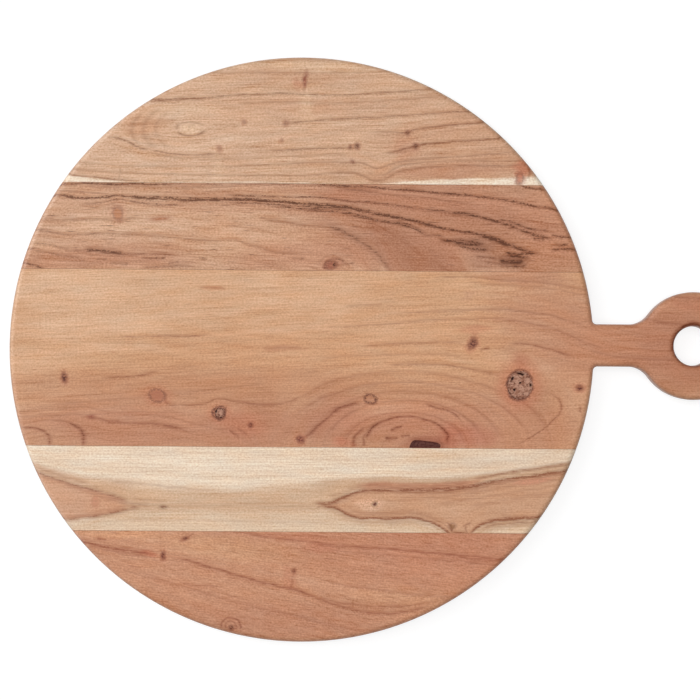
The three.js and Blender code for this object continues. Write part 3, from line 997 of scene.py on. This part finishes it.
HANDLE_WOOD = Wood(
    base=(204, 158, 121), light=(212, 169, 134), stain=(0.5, 0.3, 0.23), black=0.25, bands=0.5,
    grain=0.95, dashes=0.25, fibre=40, slope=-0.03, lean=0.3, fray=2.5,
    dome=Dome(404, 446, 1.9, 1, 58, 96),
    guides=[
        Guide(264, [(0, 262), (800, 262)]),
        Guide(281, [
            (5, 296), (139, 289), (300, 281), (400, 280), (460, 277), (500, 280), (550, 284), (595, 292),
            (720, 300)
        ], [Line(0, 440, 590, 1.2, 0.45), Line(5, 470, 590, 1.1, 0.35), Line(0, 600, 740, 1.6, 0.6)]),
        Guide(299, [
            (5, 322), (120, 313), (211, 306), (300, 300), (400, 297), (465, 296), (520, 301), (570, 311),
            (650, 330), (740, 336)
        ], [Line(-9, 640, 740, 1.5, 0.4)]),
        Guide(325, [
            (5, 341), (139, 337), (212, 335), (305, 328.6), (380, 324.4), (440, 320), (480, 318.6),
            (510, 320.2), (540, 326), (560, 332), (595, 346), (640, 353), (740, 354)
        ], [Line(0, 125, 210, 1.1, 0.65), Line(0, 330, 600, 1.2, 0.5), Line(6, 590, 740, 1.3, 0.35)]),
        Guide(344, [
            (5, 360), (100, 357), (200, 352), (300, 347), (358, 345.8), (410, 343.4), (456, 342),
            (490, 344), (523, 345), (542, 347.7), (565, 354.5), (600, 361), (660, 366), (740, 368)
        ], [Line(0, 365, 460, 1.2, 0.5), Line(0, 512, 572, 1.7, 0.7)]),
        Guide(355, [
            (5, 380), (70, 378), (120, 376.8), (143, 375), (155, 372), (230, 365), (295, 359.2),
            (343, 356.3), (410, 354.4), (448, 355.4), (480, 359), (520, 363), (560, 367), (600, 373),
            (660, 382), (740, 386)
        ], [Line(0, 106, 157, 1.2, 0.7), Line(0, 320, 460, 1.3, 0.3)]),
        Guide(366, [
            (5, 398), (60, 396), (130, 390), (200, 383), (250, 377), (295, 371), (340, 367.5),
            (406, 364.6), (437, 364), (460, 367), (482, 371.4), (505, 379), (535, 387), (552, 392),
            (563, 402), (572, 440), (580, 480), (740, 560)
        ], [Line(0, 392, 497, 1.3, 0.6), Line(8, 60, 260, 1.3, 0.3)]),
        Guide(376, [
            (5, 408), (90, 405), (169, 402.3), (187, 405), (206, 403), (219, 400), (240, 402),
            (262, 404.6), (286, 402.6), (305, 394.5), (324, 384), (352, 376), (377, 372.5), (408, 371.5),
            (440, 374), (470, 380), (495, 388), (520, 400), (540, 415), (550, 440), (556, 480),
            (740, 600)
        ], [Line(0, 183, 300, 1.3, 0.6), Line(0, 300, 450, 1.4, 0.3), Line(9, 20, 180, 1.2, 0.3)]),
        Guide(400, [
            (5, 430), (85, 416), (113, 421.5), (140, 423), (170, 425.6), (200, 434), (244, 439),
            (292, 444), (306, 436.7), (322, 422), (338, 409), (362, 402.3), (390, 396), (420, 396),
            (445, 402), (470, 412), (490, 428), (500, 450), (740, 640)
        ], [Line(0, 84, 185, 1.4, 0.6), Line(-9, 60, 230, 1.2, 0.3)]),
        Guide(440, [(0, 490), (480, 490), (520, 540), (740, 700)]),
    ],
    marks=[
        Mark([(389, 540), (392, 549.5), (396, 555), (402, 560), (407, 561), (414, 558), (420, 553),
              (427, 546), (433, 537), (440, 525), (448, 511)], 1.4, 0.7, upright=True),
        Mark([(385, 314), (450, 311), (490, 309.6), (530, 312.4), (560, 318.4), (592, 328)], 1.2, 0.5),
        Mark([(296, 444), (307, 436), (322, 422), (338, 409), (352, 403.8), (367, 401)], 2.4, 0.8),
        Mark([(423, 404), (435, 407), (448, 411), (457, 416.4), (462, 423), (463.6, 429)], 1.3, 0.9),
        Mark([(426, 366), (430, 360), (437, 355), (447, 353)], 1.7, 0.85, upright=True),
        Mark([(430, 368), (438, 364), (447, 363.6)], 1.3, 0.7, upright=True),
        Mark([(384, 438.2), (398, 438)], 1.7, 1), Mark([(390, 430.6), (403, 426)], 1.4, 0.95),
        Mark([(399, 436.6), (411, 435)], 1.2, 0.8),
        Mark([(164, 396.5), (170, 402), (179, 404.8)], 1.7, 0.7),
        Mark([(150, 424.4), (165, 425.4), (182, 428.4)], 2.2, 0.7),
        Mark([(106, 420.6), (114, 421.6), (122, 421.4)], 1.7, 0.7),
        Mark([(229, 429), (241, 437.6)], 1.7, 0.7), Mark([(237, 427), (248, 435)], 1.3, 0.5),
        Mark([(197, 287), (227, 288.4)], 1.5, 0.5),
        Mark([(262, 348.4), (285, 347.4), (304, 348)], 2, 0.25),
        Mark([(343, 305.8), (384, 305)], 1.4, 0.4),
        Mark([(468, 368.6), (482, 371.4), (496, 376.4)], 2, 0.55),
        Mark([(479, 350), (489, 347.8)], 1.5, 0.7),
        Mark([(405, 580), (413, 579)], 1.3, 0.7, upright=True),
        Mark([(268, 405), (280, 403.6), (292, 401.4)], 1.6, 0.5),
    ],
    arcs=[
        Arc(27, 440.5, 24, 13.5, -100, 15, 1.2, 0.9), Arc(50, 438, 35, 18.5, -55, 18, 1.3, 0.9),
        Arc(50, 438, 35, 18.5, -120, -50, 1.2, 0.4), Arc(407, 440, 41, 23.5, -172, 5, 1.2, 1),
        Arc(404, 446, 60, 34, -165, -15, 1, 0.35), Arc(404, 446, 78, 46, -160, -20, 1.1, 0.4),
        Arc(404, 446, 96, 55, -150, -15, 1.2, 0.35), Arc(404, 446, 124, 64, -150, -20, 1.3, 0.4),
        Arc(404, 446, 146, 73, -80, -15, 1.2, 0.35),
        # Painted shade on the hanging hole's rounded lip and wall: a dark ring all round it, and a wider,
        # darker one at its upper left, where the lip turns away from the light
        Arc(693.5, 346.3, 20.4, 20.4, -170, 170, 1.5, 0.9, turn=180),
        Arc(693.5, 346.3, 21.6, 21.6, -15, 125, 2.6, 1.1, turn=180),
    ],
    patches=[
        Patch(110, 298, 170, 38, PALE_TAN, 0.35), Patch(270, 358, 120, 30, GOLD, 0.75),
        Patch(230, 386, 320, 20, (188, 135, 101), 0.8), Patch(335, 424, 38, 34, RED_BROWN, 0.85),
        Patch(550, 330, 70, 60, RUST, 0.7, turn=20), Patch(430, 345, 90, 34, GOLD, 0.6),
        Patch(130, 428, 170, 34, RUST, 0.9), Patch(265, 428, 60, 32, RED_BROWN, 0.7),
        Patch(245, 425, 22, 14, RED_HALO, 0.35, turn=20), Patch(405, 434, 60, 26, RED_BROWN, 0.7),
        Patch(510, 428, 100, 48, RUST, 0.75), Patch(625, 345, 70, 60, (190, 133, 102), 0.9),
        Patch(695, 347, 70, 70, RED_BROWN, 0.9), Patch(463, 436, 34, 13, (184, 114, 90), 0.65),
        Patch(405, 415, 80, 22, (192, 129, 100), 0.5), Patch(700, 305, 36, 8, RED_HALO, 0.35, turn=6),
        Patch(521, 361, 9, 9, RED_BROWN, 0.6), Patch(428, 443, 24, 8, DEEP_RED, 0.7),
        Patch(450, 436, 9, 14, RED_HALO, 0.55, turn=10), Patch(343, 442, 12, 5, RED_HALO, 0.6),
        Patch(315, 430, 12, 8, RED_BROWN, 0.5, turn=-40), Patch(210, 288, 14, 3, ORANGE_TAN, 0.6),
        Patch(283, 348, 22, 3, RED_BROWN, 0.35), Patch(468, 296, 10, 5, ROSE, 0.6, turn=-30),
        Patch(40, 438, 34, 12, ROSE, 0.5), Patch(520, 275, 50, 10, RUST, 0.6, turn=4),
        Patch(475, 330, 14, 5, RED_HALO, 0.35),
    ],
    knots=[
        Knot(519, 385.1, 12.9, 15, RED_BROWN, 0.5, 0.95, 0.6, 0.4),
        Knot(220, 412.9, 6.2, 6.6, DARK_BROWN, 0.6, 1, 0.4, 0.5, turn=30),
        Knot(472, 343.6, 3.8, 5.8, (92, 44, 38), 1, 0.5, 0.5, 0.4, turn=28),
        Knot(65.6, 377.2, 2.6, 4.6, (86, 40, 32), 1, 0.5, 0.5, 0.3, turn=-8),
        Knot(157.5, 395.5, 8.6, 6.6, (158, 94, 71), 0.7, 0.6, 0.35, 0.5, turn=10),
        Knot(251, 424.8, 2.4, 2.4, (110, 52, 38), 1, 0.4, 0.5),
        Knot(301, 439.6, 3.6, 3.4, (110, 50, 42), 0.95, 0.5, 0.5),
        Knot(370.5, 398.6, 6.2, 4.6, BROWN, 0.5, 0.9, 0.15, 0.3, turn=12),
        Knot(579, 387.6, 3.4, 2.8, (94, 42, 34), 1, 0.4, 0.5, 0.3),
        Knot(92, 416.6, 3.4, 2, DEEP_RED, 0.8, 0.3, 0.3),
    ],
)

FRONT_INNER_WOOD = Wood(
    base=(226, 203, 178), light=(232, 213, 190), stain=(0.47, 0.27, 0.19), black=0.1, bands=0.32,
    grain=0.9, dashes=0.12, fibre=60, slope=0.0, lean=0.4, fray=1.2,
    guides=[
        Guide(440, [(0, 440), (800, 440)]),
        Guide(462, [(20, 450), (100, 462), (200, 470), (320, 472), (420, 468), (500, 463), (590, 452)]),
        Guide(478, [
            (20, 458), (70, 473), (110, 480), (150, 484), (185, 488), (215, 490), (260, 487), (324, 481),
            (357, 479), (393, 477), (430, 479), (464, 477), (500, 473), (590, 460)
        ], [Line(0, 112, 215, 1.3, 0.35)]),
        Guide(490, [
            (20, 462), (40, 472.6), (60, 479.6), (80, 485.6), (100, 492), (120, 498), (135, 502),
            (200, 501), (260, 500), (300, 502), (324, 503.4), (335, 500.6), (345, 496), (357, 491.6),
            (368, 489.8), (382, 489.5), (400, 490.8), (425, 490.5), (445, 489.5), (464, 487),
            (495, 481.5), (529, 476.2), (567, 471), (590, 468)
        ], [
            Line(0, 30, 128, 3.2, 0.75), Line(4, 84, 135, 2.4, 0.4), Line(-5, 34, 90, 3, 0.45),
            Line(0, 318, 352, 2.6, 1.1), Line(0, 340, 402, 1.6, 1.2), Line(-0.8, 395, 455, 3.2, 1),
            Line(0, 440, 600, 2.4, 1.15), Line(-4, 345, 470, 5, 0.45), Line(-7, 475, 600, 2.2, 0.7),
            Line(2.6, 440, 600, 2.4, 0.5), Line(7, 400, 590, 2.4, 0.3), Line(13, 440, 590, 2, 0.25),
            Line(20, 470, 570, 2.6, 0.25), Line(4, 130, 320, 3, 0.2)
        ]),
        Guide(510, [
            (20, 532), (66, 520), (85, 517), (105, 514), (120, 510.6), (135, 507), (200, 509), (260, 510),
            (300, 508), (324, 506.4), (334, 507), (347, 514), (365, 518.2), (410, 517.6), (425, 520),
            (436, 524), (448, 532), (460, 540), (470, 534), (476, 527.5), (487, 522.2), (500, 520),
            (540, 517.2), (590, 514)
        ], [
            Line(0, 56, 140, 2.8, 0.75), Line(-3.5, 66, 130, 1.6, 0.3), Line(0, 324, 350, 2, 1.1),
            Line(0, 340, 452, 1.8, 1.25), Line(3, 420, 448, 1.2, 0.6), Line(0, 468, 575, 2.2, 1.3),
            Line(4, 480, 550, 3.4, 0.6), Line(-5, 350, 450, 2.4, 0.3), Line(3, 330, 425, 3, 0.4)
        ]),
        Guide(524, [
            (20, 545), (80, 530), (135, 519), (200, 520), (300, 522), (340, 524), (406, 527), (430, 536),
            (446, 548), (480, 542), (500, 529), (590, 524)
        ], [Line(0, 120, 330, 1.6, 0.2)]),
        Guide(540, [(0, 562), (800, 562)]),
    ],
    marks=[
        Mark([(118, 499), (135, 503.4), (154, 505)], 2.8, 0.5),
        Mark([(130, 497), (150, 500), (170, 501)], 1.4, 0.35),
        Mark([(436, 524.4), (445, 529), (452, 533)], 1.3, 0.9),
        Mark([(521, 445), (526, 450.6), (533, 454)], 1.4, 0.9, upright=True),
        Mark([(453, 531.2), (460, 532), (467, 532.4)], 1.4, 0.9),
        Mark([(462, 526), (471, 522.4)], 1.2, 0.7),
        Mark([(523, 464), (528, 466), (534, 466)], 1.1, 0.6, upright=True),
        Mark([(316, 501), (326, 503), (338, 501)], 1.5, 0.6),
        Mark([(314, 507), (326, 506), (338, 509)], 1.4, 0.6),
        Mark([(326, 495), (338, 494), (350, 490)], 2, 0.4), Mark([(362, 500.6), (369, 499.4)], 1.2, 0.8),
    ],
    arcs=[
        Arc(374.5, 503.5, 8, 5, -180, 90, 0.8, 0.4),
    ],
    zones=[
        Zone(516, 560, -20, 640, 5, LOW_CREAM, 1), Zone(478, 516, 95, 345, 7, HAZE, 0.95),
        Zone(478, 490, -20, 130, 5, (203, 162, 128), 0.7),
        Zone(490, 510, -20, 126, 1.6, (203, 155, 124), 0.95), Zone(476, 490, 318, 640, 4, HAZE, 0.9),
        Zone(510, 520, 330, 455, 3, HAZE, 0.6), Zone(510, 522, 470, 640, 3, HAZE, 0.7),
        Zone(482, 490, 362, 480, 2.5, (198, 142, 110), 0.8), Zone(490, 510, 326, 640, 0.9, TONGUE, 1),
    ],
    patches=[
        Patch(200, 460, 120, 10, PALE_CREAM, 0.3), Patch(430, 456, 30, 7, (226, 190, 150), 0.35),
        Patch(530, 462, 120, 26, (215, 189, 163), 0.5),
    ],
    knots=[
        Knot(370, 503.5, 17, 7.4, (224, 182, 152), 0.95),
        Knot(374.3, 503.4, 2.4, 2, (100, 52, 42), 1, 0.4),
        Knot(164, 506.4, 3.4, 1.7, (146, 106, 80), 0.95, 0.2), Knot(96, 502, 5, 7, RED_HALO, 0.45),
        Knot(452, 526, 3.6, 3.2, (136, 92, 58), 0.85, 0.3),
        Knot(532, 481, 22, 3.4, (205, 138, 112), 0.55, turn=-8),
    ],
)

FRONT_EDGE_WOOD = Wood(
    base=(193, 139, 108), light=(199, 147, 116), stain=(0.52, 0.3, 0.24), black=0.1, bands=0.5,
    grain=1.15, dashes=0.4, fibre=12, slope=0.12, lean=-0.35, fray=2.5,
    guides=[
        Guide(522, [(0, 518), (800, 518)]),
        Guide(545, [
            (60, 529), (235, 531), (255, 534), (275, 537.5), (300, 540), (345, 545.3), (370, 547),
            (430, 552), (495, 558), (580, 562)
        ], [
            Line(0, 230, 520, 1.5, 0.65), Line(0.5, 315, 380, 2.4, 0.5), Line(6, 330, 500, 1.2, 0.35),
            Line(2, 455, 520, 1.8, 0.5)
        ]),
        Guide(567, [
            (60, 533), (150, 548), (230, 558), (300, 568), (370, 580), (440, 588), (540, 590)
        ], [Line(8, 330, 470, 1.3, 0.35)]),
        Guide(590, [
            (60, 536), (84, 541), (105, 546), (135, 551), (164, 555.4), (185, 559), (215, 568),
            (245, 577), (275, 584.5), (300, 590.6), (330, 602), (345, 606.3), (370, 612), (385, 612.8),
            (405, 611), (440, 603), (540, 598)
        ], [
            Line(0, 76, 150, 2.4, 0.8), Line(3, 90, 150, 1.2, 0.55), Line(0, 180, 310, 1.6, 0.8),
            Line(0, 300, 425, 1.4, 0.65)
        ]),
        Guide(612, [
            (60, 550), (120, 566), (180, 585), (240, 602), (300, 616), (350, 628), (400, 630), (480, 620)
        ], [Line(0, 150, 400, 1.3, 0.3)]),
        Guide(640, [(60, 575), (140, 602), (200, 625), (260, 645), (420, 660), (540, 650)]),
    ],
    marks=[
        Mark([(300, 591), (330, 599.6), (350, 603.2), (375, 606), (395, 606), (420, 603),
              (444, 599)], 1.2, 0.5),
        Mark([(96, 537.6), (108, 539.4)], 1.2, 0.8), Mark([(178, 540), (186, 538), (196, 532)], 1.4, 0.7),
        Mark([(565, 297), (575, 294), (592, 289)], 1.3, 0.45, upright=True),
        Mark([(180, 582), (200, 584.6), (222, 586)], 1.2, 0.45),
        Mark([(260, 534), (290, 535), (330, 536)], 1.4, 0.4),
    ],
    arcs=[
        Arc(231.4, 624.6, 9.4, 8.2, -190, 25, 1.1, 0.8), Arc(231.4, 625.2, 5.6, 5, -200, 40, 1, 0.7),
    ],
    patches=[
        Patch(225, 548, 70, 12, GOLD, 0.5, turn=6), Patch(440, 550, 120, 40, (189, 128, 99), 0.7, turn=4),
        Patch(149, 554, 9, 4, RED_HALO, 0.7, turn=8), Patch(322, 547, 20, 6, RED_HALO, 0.45, turn=6),
        Patch(120, 533, 50, 6, (210, 156, 118), 0.7, turn=2),
        Patch(300, 536, 50, 5, RED_HALO, 0.35, turn=4), Patch(290, 578, 7, 12, RED_HALO, 0.3),
        Patch(231.4, 622, 8, 5, TAN, 0.6), Patch(395, 600, 60, 12, GOLD, 0.3),
        Patch(290, 622, 130, 24, RUST, 0.8),
    ],
    knots=[
        Knot(164, 555, 2.4, 3.6, (104, 46, 34), 1, 0.5, 0.5, 0.3),
        Knot(185.4, 538, 2.8, 1.8, (112, 62, 46), 0.95, 0.3, 0.4, turn=-20),
        Knot(294.6, 570.4, 2, 1.8, (120, 66, 48), 0.95, 0.3, 0.3),
        Knot(231.6, 626.6, 2.6, 2.4, (104, 54, 38), 1, 0.4, 0.2),
    ],
)


# Resin and glue

Pit = namedtuple("Pit", "u v radius_u radius_v depth turn", defaults=(0,))
Plug = namedtuple("Plug", "outline middle depth pits resin slot")

LARGE_KNOT_PITS = [
    Pit(512, 378.6, 1.3, 2.6, 0.9, turn=35), Pit(519.8, 382.6, 1.2, 1.1, 0.8),
    Pit(513.8, 389.8, 1.7, 1.3, 0.9, turn=30), Pit(520.2, 373.8, 4.8, 1.2, 0.6, turn=12),
    Pit(529.8, 385.2, 1.1, 1.4, 0.3),
]
SMALL_KNOT_PITS = [Pit(216.4, 410.6, 1.2, 2.4, 0.4), Pit(221.6, 417.2, 1.2, 1, 0.5)]
PIT_COLOUR = (46, 18, 12)
RIM_COLOUR = (78, 32, 22)

# How often the clouds in resin repeat in a pixel, and ranges of its noises and of the distance
# from a pit's middle
RESIN_CLOUDS = 0.2
DARK_GRAINS = (0.5, 0.34, 0.0, 0.9)
LIGHT_GRAINS = (0.56, 0.7, 0.0, 0.8)
RIM_GRAINS = (0.62, 0.45, 0.5, 1.0)
RESIN_ROUGHNESS = (0.3, 0.7, 0.6, 0.4)
PIT_RANGE = (1.35, 0.45)
PIT_UNEVEN = 1.2
RESIN_BUMP = 0.3
RESIN_SHEEN = 0.2


def resin_material(name, base, light, dark, grain, pits=(), arcs=(), marks=()):
    """Sanded resin with sawdust in it, dark in its pits and along the arcs and marks at its edge.
    grain is the size of the sawdust in pixels."""
    graph = Graph(name)
    u, v, depth = photo_coordinates(graph, 0.0)
    place = graph.vector(u, v, depth)
    flat = graph.vector(u, v, 0.0)
    cloud = graph.noise(graph.vector_math("MULTIPLY", place, (RESIN_CLOUDS,) * 3))
    specks = graph.noise(graph.vector_math("MULTIPLY", place, (1 / grain,) * 3), roughness=0.7)
    colour = graph.mix(graph.range(cloud, *SOFT_MIX), base, light)
    colour = graph.mix(graph.range(specks, *DARK_GRAINS), colour, dark)
    colour = graph.mix(graph.range(specks, *LIGHT_GRAINS), colour, light)
    if arcs or marks:
        ink = graph.most(arc_ink(graph, flat, arc) for arc in arcs)
        ink = graph.most((mark_ink(graph, u, v, mark) for mark in marks), ink)
        colour = graph.mix(ink * graph.range(specks, *RIM_GRAINS), colour, RIM_COLOUR)
    for pit in pits:
        distance = graph.oval_distance(flat, pit) + (specks - 0.5) * PIT_UNEVEN
        colour = graph.mix(graph.range(distance, *PIT_RANGE), colour, PIT_COLOUR)
    roughness = graph.range(specks, *RESIN_ROUGHNESS)
    return graph.finish(colour, roughness, specks, RESIN_BUMP, RESIN_SHEEN)


# The pieces

LARGE_KNOT_RADII = (8.6, 10.2)
SMALL_KNOT_RADII = (3.5, 3.8)
LARGE_KNOT_DEPTH = 7.0
SMALL_KNOT_DEPTH = 5.0
LARGE_KNOT_WOBBLE = 0.025
SMALL_KNOT_WOBBLE = 0.03
LARGE_KNOT_STEPS = 96
SMALL_KNOT_STEPS = 48
BARK_DEPTH = 4.0
BARK_GAP = 0.12
BARK_STEPS = 6
BARK_SPACING = 1.0
PLUG_RINGS = 24
PLUG_SINK = 0.05

# The top edge of the bark pocket in the photograph, from its right end to its left, and its middle
BARK_TOP = [(439.8, 447.5), (440.0, 444.5), (436.4, 442.3), (427.4, 440.9), (418.4, 439.9), (413.6, 440.1),
            (410.8, 442.7), (409.0, 447.5)]
BARK_MIDDLE = (423.4, 444.2)


def node_middle(node):
    """The middle of a node's box, seen from above, in millimetres."""
    low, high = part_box(node)
    return (low.x + high.x) / 2 / MM, (low.y + high.y) / 2 / MM


def pit_depth(x, y, pits):
    """How far a filler's face lies below the wood: a little everywhere, more in its pits."""
    depth = PLUG_SINK
    for pit in pits:
        pit_x, pit_y = from_photo(pit.u, pit.v)
        turn = math.radians(pit.turn)
        right = x - pit_x
        down = pit_y - y
        away_u = (right * math.cos(turn) + down * math.sin(turn)) / (pit.radius_u * PHOTO_SCALE)
        away_v = (down * math.cos(turn) - right * math.sin(turn)) / (pit.radius_v * PHOTO_SCALE)
        depth += pit.depth * max(0.0, 1.0 - away_u ** 2 - away_v ** 2)
    return depth


def plug_mesh(plug):
    """A cast plug: rings of points from its edge to its middle, with open pits in its face, over
    straight walls and a flat floor."""
    builder = MeshBuilder()
    middle_x, middle_y = plug.middle
    floor = builder.ring(plug.outline, THICKNESS - plug.depth)
    rings = [builder.ring(plug.outline, THICKNESS)]
    builder.faces.append(floor[::-1])
    for step in range(1, PLUG_RINGS + 1):
        share = 1 - step / PLUG_RINGS
        first = len(builder.points)
        for edge_x, edge_y in plug.outline if share else plug.outline[:1]:
            x = middle_x + (edge_x - middle_x) * share
            y = middle_y + (edge_y - middle_y) * share
            builder.points.append((x, y, THICKNESS - pit_depth(x, y, plug.pits)))
        rings.append(list(range(first, len(builder.points))))
    *rings, (top,) = rings
    builder.tube([floor] + rings)
    last = rings[-1]
    for here, there in zip(last, last[1:] + last[:1]):
        builder.faces.append((here, there, top))
    return builder


def smooth_path(points, steps):
    """A smooth curve through points, with its ends."""
    padded = [points[0]] + points + [points[-1]]
    path = []
    for before, start, end, after in zip(padded, padded[1:], padded[2:], padded[3:]):
        for step in range(steps):
            t = step / steps
            path.append(tuple(
                0.5 * (2 * b + (c - a) * t + (2 * a - 5 * b + 4 * c - d) * t ** 2
                       + (3 * b - a - 3 * c + d) * t ** 3)
                for a, b, c, d in zip(before, start, end, after)))
    return path + [points[-1]]


def bark_outline():
    """The bark pocket's edge: a flat hump whose straight side lies along the joint."""
    joint_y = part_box("handle_stave")[0].y / MM + BARK_GAP
    top = [from_photo(u, v) for u, v in smooth_path(BARK_TOP, BARK_STEPS)]
    top = [(x, max(y, joint_y)) for x, y in top[1:-1]]
    right = (top[0][0], joint_y)
    left = (top[-1][0], joint_y)
    return [right] + top + [left] + spaced_between(left, right, BARK_SPACING)


knot_resin = resin_material(
    "knot_resin", base=(160, 110, 88), light=(196, 150, 127), dark=(104, 58, 42), grain=2.2,
    pits=LARGE_KNOT_PITS + SMALL_KNOT_PITS,
    arcs=[
        Arc(519, 385.1, 12, 14.3, 95, 255, 0.9, 0.85), Arc(519, 385.1, 11.8, 14, 60, 160, 1, 1),
        Arc(519, 385.1, 11.9, 14.2, 255, 330, 1, 0.6), Arc(519, 385.1, 11.9, 14.2, -30, 60, 0.8, 0.4),
        Arc(519, 385.1, 9.6, 12, 150, 215, 0.7, 0.5),
        Arc(220, 412.9, 4.7, 5.1, 120, 290, 1.2, 1), Arc(220, 412.9, 4.7, 5.1, -70, 130, 0.9, 0.9),
    ])
bark_resin = resin_material(
    "bark_resin", base=(84, 47, 40), light=(104, 62, 54), dark=(62, 30, 24), grain=2.6,
    marks=[
        Mark([(409, 446), (413.6, 440.3), (418.4, 440.2), (427.4, 441.2), (436.4, 442.6), (440, 445)],
             1.0, 0.9),
        Mark([(409, 447.4), (424, 447.4), (440, 447.4)], 0.8, 0.9),
        Mark([(418, 444), (427, 444.4), (434, 445.4)], 0.6, 0.6),
    ])
glue = resin_material("glue_line", base=(126, 76, 52), light=(146, 94, 66), dark=(96, 54, 38), grain=1.6)

woods = {
    "back_edge_stave": ("acacia_light_tan", BACK_EDGE_WOOD),
    "back_inner_stave": ("acacia_dark_figure", BACK_INNER_WOOD),
    "handle_stave": ("acacia_golden", HANDLE_WOOD),
    "front_inner_stave": ("acacia_sapwood", FRONT_INNER_WOOD),
    "front_edge_stave": ("acacia_red_brown", FRONT_EDGE_WOOD),
}
large_middle = node_middle("large_knot_filler")
small_middle = node_middle("small_knot_filler")
large_outline = oval_outline(large_middle, *LARGE_KNOT_RADII, LARGE_KNOT_WOBBLE, LARGE_KNOT_STEPS)
small_outline = oval_outline(small_middle, *SMALL_KNOT_RADII, SMALL_KNOT_WOBBLE, SMALL_KNOT_STEPS)
bark_middle = from_photo(*BARK_MIDDLE)
plugs = {
    "large_knot": Plug(
        large_outline, large_middle, LARGE_KNOT_DEPTH, LARGE_KNOT_PITS, knot_resin, "knot_resin"),
    "small_knot": Plug(
        small_outline, small_middle, SMALL_KNOT_DEPTH, SMALL_KNOT_PITS, knot_resin, "knot_resin"),
    "bark_pocket": Plug(bark_outline(), bark_middle, BARK_DEPTH, [], bark_resin, "bark_resin"),
}
pockets = {"handle_stave": [(plug.outline, plug.depth) for plug in plugs.values()]}

for node, (slot, wood) in woods.items():
    material = wood_material(slot, wood)
    add_piece(stave_mesh(node, pockets.get(node, ())), f"{node}_wood", material, node, slot)

for place in ("back_outer", "back_inner", "front_inner", "front_outer"):
    node = f"glue_line_{place}"
    add_piece(stave_mesh(node), f"{node}_film", glue, node, "glue_line")

for name, plug in plugs.items():
    add_piece(plug_mesh(plug), f"{name}_resin", plug.resin, f"{name}_filler", plug.slot)


# Studio: floor, light and camera, in metres

FLOOR_SIZE = 6.0
FLOOR_DROP = 0.0003
FLOOR_TONES = ((152, 152, 152), (156, 156, 156))
FLOOR_CLOUDS = (3.0, 3.0, 3.0)
FLOOR_RANGE = (0.3, 0.7)
FLOOR_GLOW = 0.76
LAMP_DISTANCE = 6.0
LAMP_SIZE = (4.0, 4.0)
CARD_DISTANCE = 2.5
CARD_SIZE = (6.0, 1.9)
SKY_LIGHT = 0.05


def add_floor():
    """A pale floor just below the board. To the eye, and in what things mirror, it also glows, so
    that it is white there and still takes the board's shadow."""
    mesh = bpy.data.meshes.new("floor")
    half = FLOOR_SIZE / 2
    corners = [(-half, -half, 0.0), (half, -half, 0.0), (half, half, 0.0), (-half, half, 0.0)]
    mesh.from_pydata(corners, [], [(0, 1, 2, 3)])
    floor = bpy.data.objects.new("floor", mesh)
    floor.location.z = -FLOOR_DROP
    bpy.context.scene.collection.objects.link(floor)
    floor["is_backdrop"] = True
    graph = Graph("floor")
    clouds = graph.noise(graph.vector_math("MULTIPLY", graph.place(), FLOOR_CLOUDS))
    diffuse = graph.node("ShaderNodeBsdfDiffuse", graph.mix(graph.range(clouds, *FLOOR_RANGE), *FLOOR_TONES))
    rays = graph.node("ShaderNodeLightPath").outputs
    seen = [Field(graph, rays[name]) for name in ("Is Camera Ray", "Is Glossy Ray", "Is Transmission Ray")]
    glow = graph.node("ShaderNodeEmission")
    graph.feed(glow.inputs["Strength"], graph.most(seen) * FLOOR_GLOW)
    both = graph.node("ShaderNodeAddShader")
    for shader, socket in zip((diffuse, glow), both.inputs):
        graph.tree.links.new(shader.outputs[0], socket)
    mesh.materials.append(graph.output(both))


def add_softbox(name, direction, distance, size, strength, lights=True, mirrored=True):
    """A lamp of a width and height that faces the board from a direction and lights it to a given
    strength. It can be left out of the light that falls on things or of what they mirror."""
    lamp = bpy.data.lights.new(name, "AREA")
    lamp.shape = "RECTANGLE"
    lamp.size, lamp.size_y = size
    heading = Vector(direction).normalized()
    lamp.energy = strength * math.pi * math.pi * distance ** 2 / heading.z
    box = bpy.data.objects.new(name, lamp)
    box.visible_camera = False
    box.visible_diffuse = lights
    box.visible_glossy = mirrored
    box.location = heading * distance
    box.rotation_euler = heading.to_track_quat("Z", "Y").to_euler()
    bpy.context.scene.collection.objects.link(box)


def add_world():
    """White surroundings to the eye, which light the board a little from all sides."""
    world = bpy.data.worlds.new("studio")
    world.use_nodes = True
    tree = world.node_tree
    background = tree.nodes["Background"]
    background.inputs["Color"].default_value = (1.0, 1.0, 1.0, 1.0)
    seen = tree.nodes.new("ShaderNodeLightPath").outputs["Is Camera Ray"]
    brightness = tree.nodes.new("ShaderNodeMapRange")
    brightness.inputs["To Min"].default_value = SKY_LIGHT
    tree.links.new(seen, brightness.inputs["Value"])
    tree.links.new(brightness.outputs[0], background.inputs["Strength"])
    bpy.context.scene.world = world


def add_camera():
    """A camera straight above the photograph's middle, which frames what the photograph shows."""
    data = bpy.data.cameras.new("camera")
    camera = bpy.data.objects.new("camera", data)
    x, y = from_photo(PHOTO_SIZE / 2, PHOTO_SIZE / 2)
    camera.location = (x * MM, y * MM, (THICKNESS + CAMERA_HEIGHT) * MM)
    camera.rotation_euler = (0.0, 0.0, PHOTO_TURN)
    half_field = PHOTO_SIZE * PHOTO_SCALE / 2
    data.angle = 2 * math.atan(half_field / (CAMERA_HEIGHT + EDGE_RADIUS))
    bpy.context.scene.collection.objects.link(camera)
    bpy.context.scene.camera = camera


add_floor()
add_softbox("key_light", (-0.84, 0.42, 1.0), LAMP_DISTANCE, LAMP_SIZE, 0.34)
add_softbox("top_light", (0.0, 0.0, 1.0), LAMP_DISTANCE, LAMP_SIZE, 0.61, mirrored=False)
add_softbox("rim_card", (-1.0, 0.1, 0.35), CARD_DISTANCE, CARD_SIZE, 0.6, lights=False)
add_world()
add_camera()

bpy.context.scene.view_settings.view_transform = "Standard"

boxes = {"cad": cad_bounds, "visual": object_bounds()}
{name: [list(corner) for corner in box] for name, box in boxes.items()}
